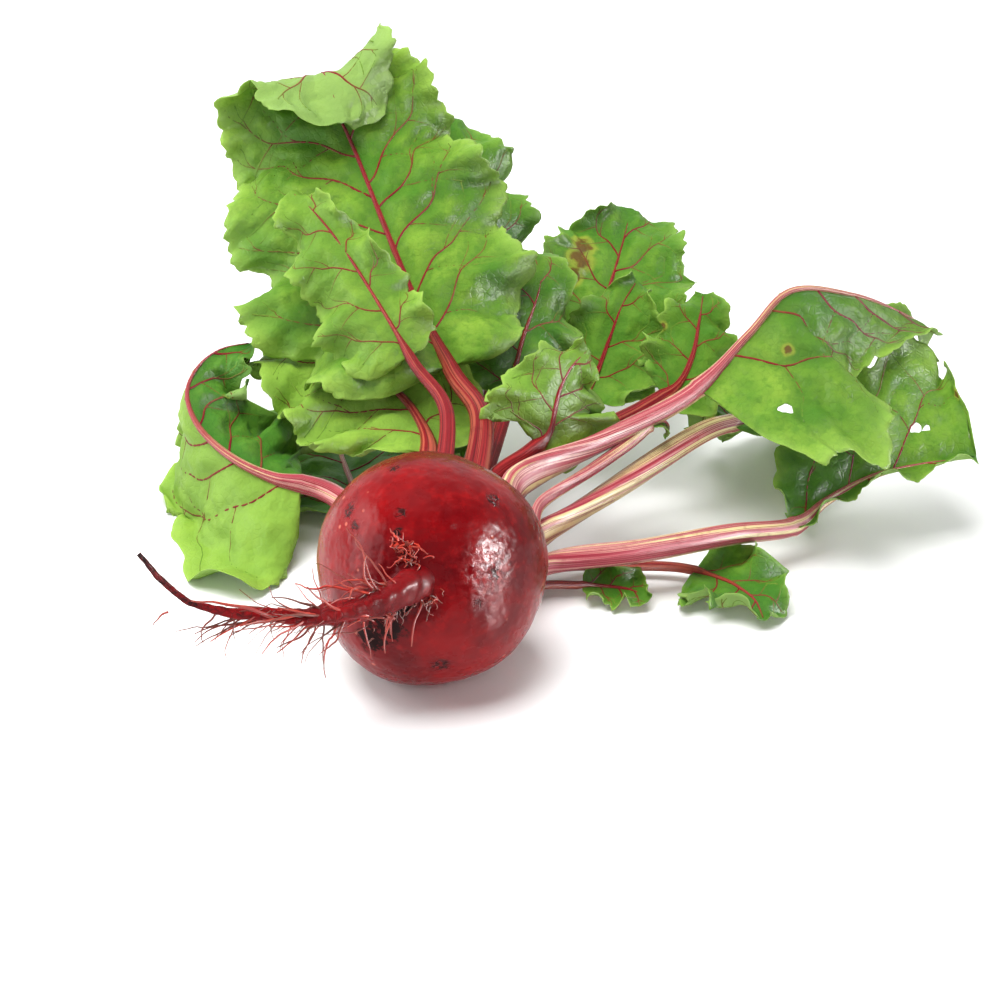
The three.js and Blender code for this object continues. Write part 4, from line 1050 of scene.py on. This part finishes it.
def make_veins(leaf, veins, row_shares, points, finish):
    builder = Builder("thin")
    size = min(1, (leaf["half"][0] + leaf["half"][1]) / 90)
    half_columns = (points.shape[1] - 1) / 2
    for order, vein_share, vein_t in veins:
        if order > 1 and np.ptp(vein_share) + np.ptp(np.abs(vein_t)) < 0.04:
            continue
        row = np.interp(vein_share, row_shares, np.arange(len(row_shares)))
        column = (1 + np.sign(vein_t) * np.abs(vein_t) ** (1 / COLUMN_CROWDING)) * half_columns
        path = between(points, row, column)
        from_rib, to_end = VEIN_RADII[order]
        radii = size * np.linspace(from_rib, to_end, len(path)) + (1 - size) * to_end
        thin = np.linspace(0.35 * (order - 1), 0.5 + 0.2 * order, len(path))
        add_tube(builder, path, radii, VEIN_SIDES[order], thin=thin)
    made = builder.piece(f"veins_{leaf['name']}", finish)
    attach(made, "root")


# The stage

CAMERA_PLACE = (22.378, -774.302, 472.238)
CAMERA_PITCH = 28
CAMERA_LENS = 100
SENSOR_WIDTH = 36
FLOOR_REACH = 6000
FLOOR_COLOUR = (0.93, 0.93, 0.93, 1)
BRIGHTENING = {"From Min": -0.25, "From Max": 0.75, "To Min": 0.1, "To Max": 1.2}


def make_camera():
    data = bpy.data.cameras.new("camera")
    data.lens = CAMERA_LENS
    data.sensor_width = SENSOR_WIDTH
    data.clip_start, data.clip_end = 0.01, 20
    camera = add_object("camera", data)
    camera.location = [value * MM for value in CAMERA_PLACE]
    camera.rotation_euler = (math.radians(90 - CAMERA_PITCH), 0, 0)
    bpy.context.scene.camera = camera


def make_light(name, place, aim, size, power, shows=True, lights=True):
    """An area light; without shows it isn't mirrored in glossy surfaces, and without lights it only is."""
    data = bpy.data.lights.new(name, "AREA")
    data.shape = "RECTANGLE"
    data.size, data.size_y = size
    data.energy = power
    light = add_object(name, data)
    light.location = place
    light.visible_glossy = shows
    light.visible_diffuse = lights
    light.visible_transmission = lights
    light.rotation_euler = (Vector(aim) - Vector(place)).to_track_quat("-Z", "Y").to_euler()


def make_stage():
    """A pale floor, a world that brightens from the camera's side towards the back, and the lights."""
    builder, f, far = Builder(), Finish("floor"), FLOOR_REACH
    builder.add([(-far, -far, 0), (far, -far, 0), (far, far, 0), (-far, far, 0)], [(0, 1, 2, 3)])
    floor = builder.piece("floor", f.finish(f.shader(Base_Color=FLOOR_COLOUR, Roughness=0.3)))
    world = bpy.data.worlds.new("studio")
    world.use_nodes = True
    tree = world.node_tree
    background = tree.nodes["Background"]
    place = tree.nodes.new("ShaderNodeTexCoord")
    parts = tree.nodes.new("ShaderNodeSeparateXYZ")
    strength = tree.nodes.new("ShaderNodeMapRange")
    tree.links.new(place.outputs["Generated"], parts.inputs[0])
    tree.links.new(parts.outputs["Y"], strength.inputs["Value"])
    for name, value in BRIGHTENING.items():
        strength.inputs[name].default_value = value
    tree.links.new(strength.outputs[0], background.inputs["Strength"])
    background.inputs["Color"].default_value = (1, 1, 1, 1)
    bpy.context.scene.world = world
    bpy.context.scene.view_settings.view_transform = "Standard"
    bpy.context.scene.view_settings.look = "None"
    make_light("top", (-0.25, -0.05, 1.3), (0.02, 0.05, 0), (0.9, 0.9), 27, shows=False)
    make_light("fill", (-0.1, -1.3, 0.75), (0.02, 0.05, 0.03), (1.2, 0.8), 6.5, shows=False)
    make_light("left", (-0.95, 0.2, 0.45), (0, 0.05, 0.04), (0.6, 0.6), 4.5)
    make_light("right", (0.74, -0.32, 0.26), (0, 0, 0.036), (0.22, 0.26), 36, lights=False)
    make_light("left_gloss", (-0.85, -0.25, 0.3), (0, 0, 0.036), (0.7, 0.7), 9, lights=False)


def main():
    make_camera()
    make_stage()
    make_root(skin_finish())
    make_rootlets(rootlet_finish())
    striped = stalk_finish("striped_stalk", srgb(208, 152, 144), srgb(176, 72, 84), srgb(132, 18, 38),
                           srgb(222, 206, 148), 0.95, srgb(146, 30, 46))
    red = stalk_finish("red_stalk", srgb(160, 38, 40), srgb(122, 8, 20), srgb(80, 4, 12),
                       srgb(206, 122, 88), 0.35, srgb(130, 16, 30))
    leaf_material, vein_material = leaf_finish(), vein_finish()
    for number, leaf in enumerate(LEAVES):
        line = LeafLine(leaf)
        make_stalk(leaf, line, striped if leaf["striped"] else red)
        make_blade(leaf, line, leaf_material, vein_material, seed=number)


main()
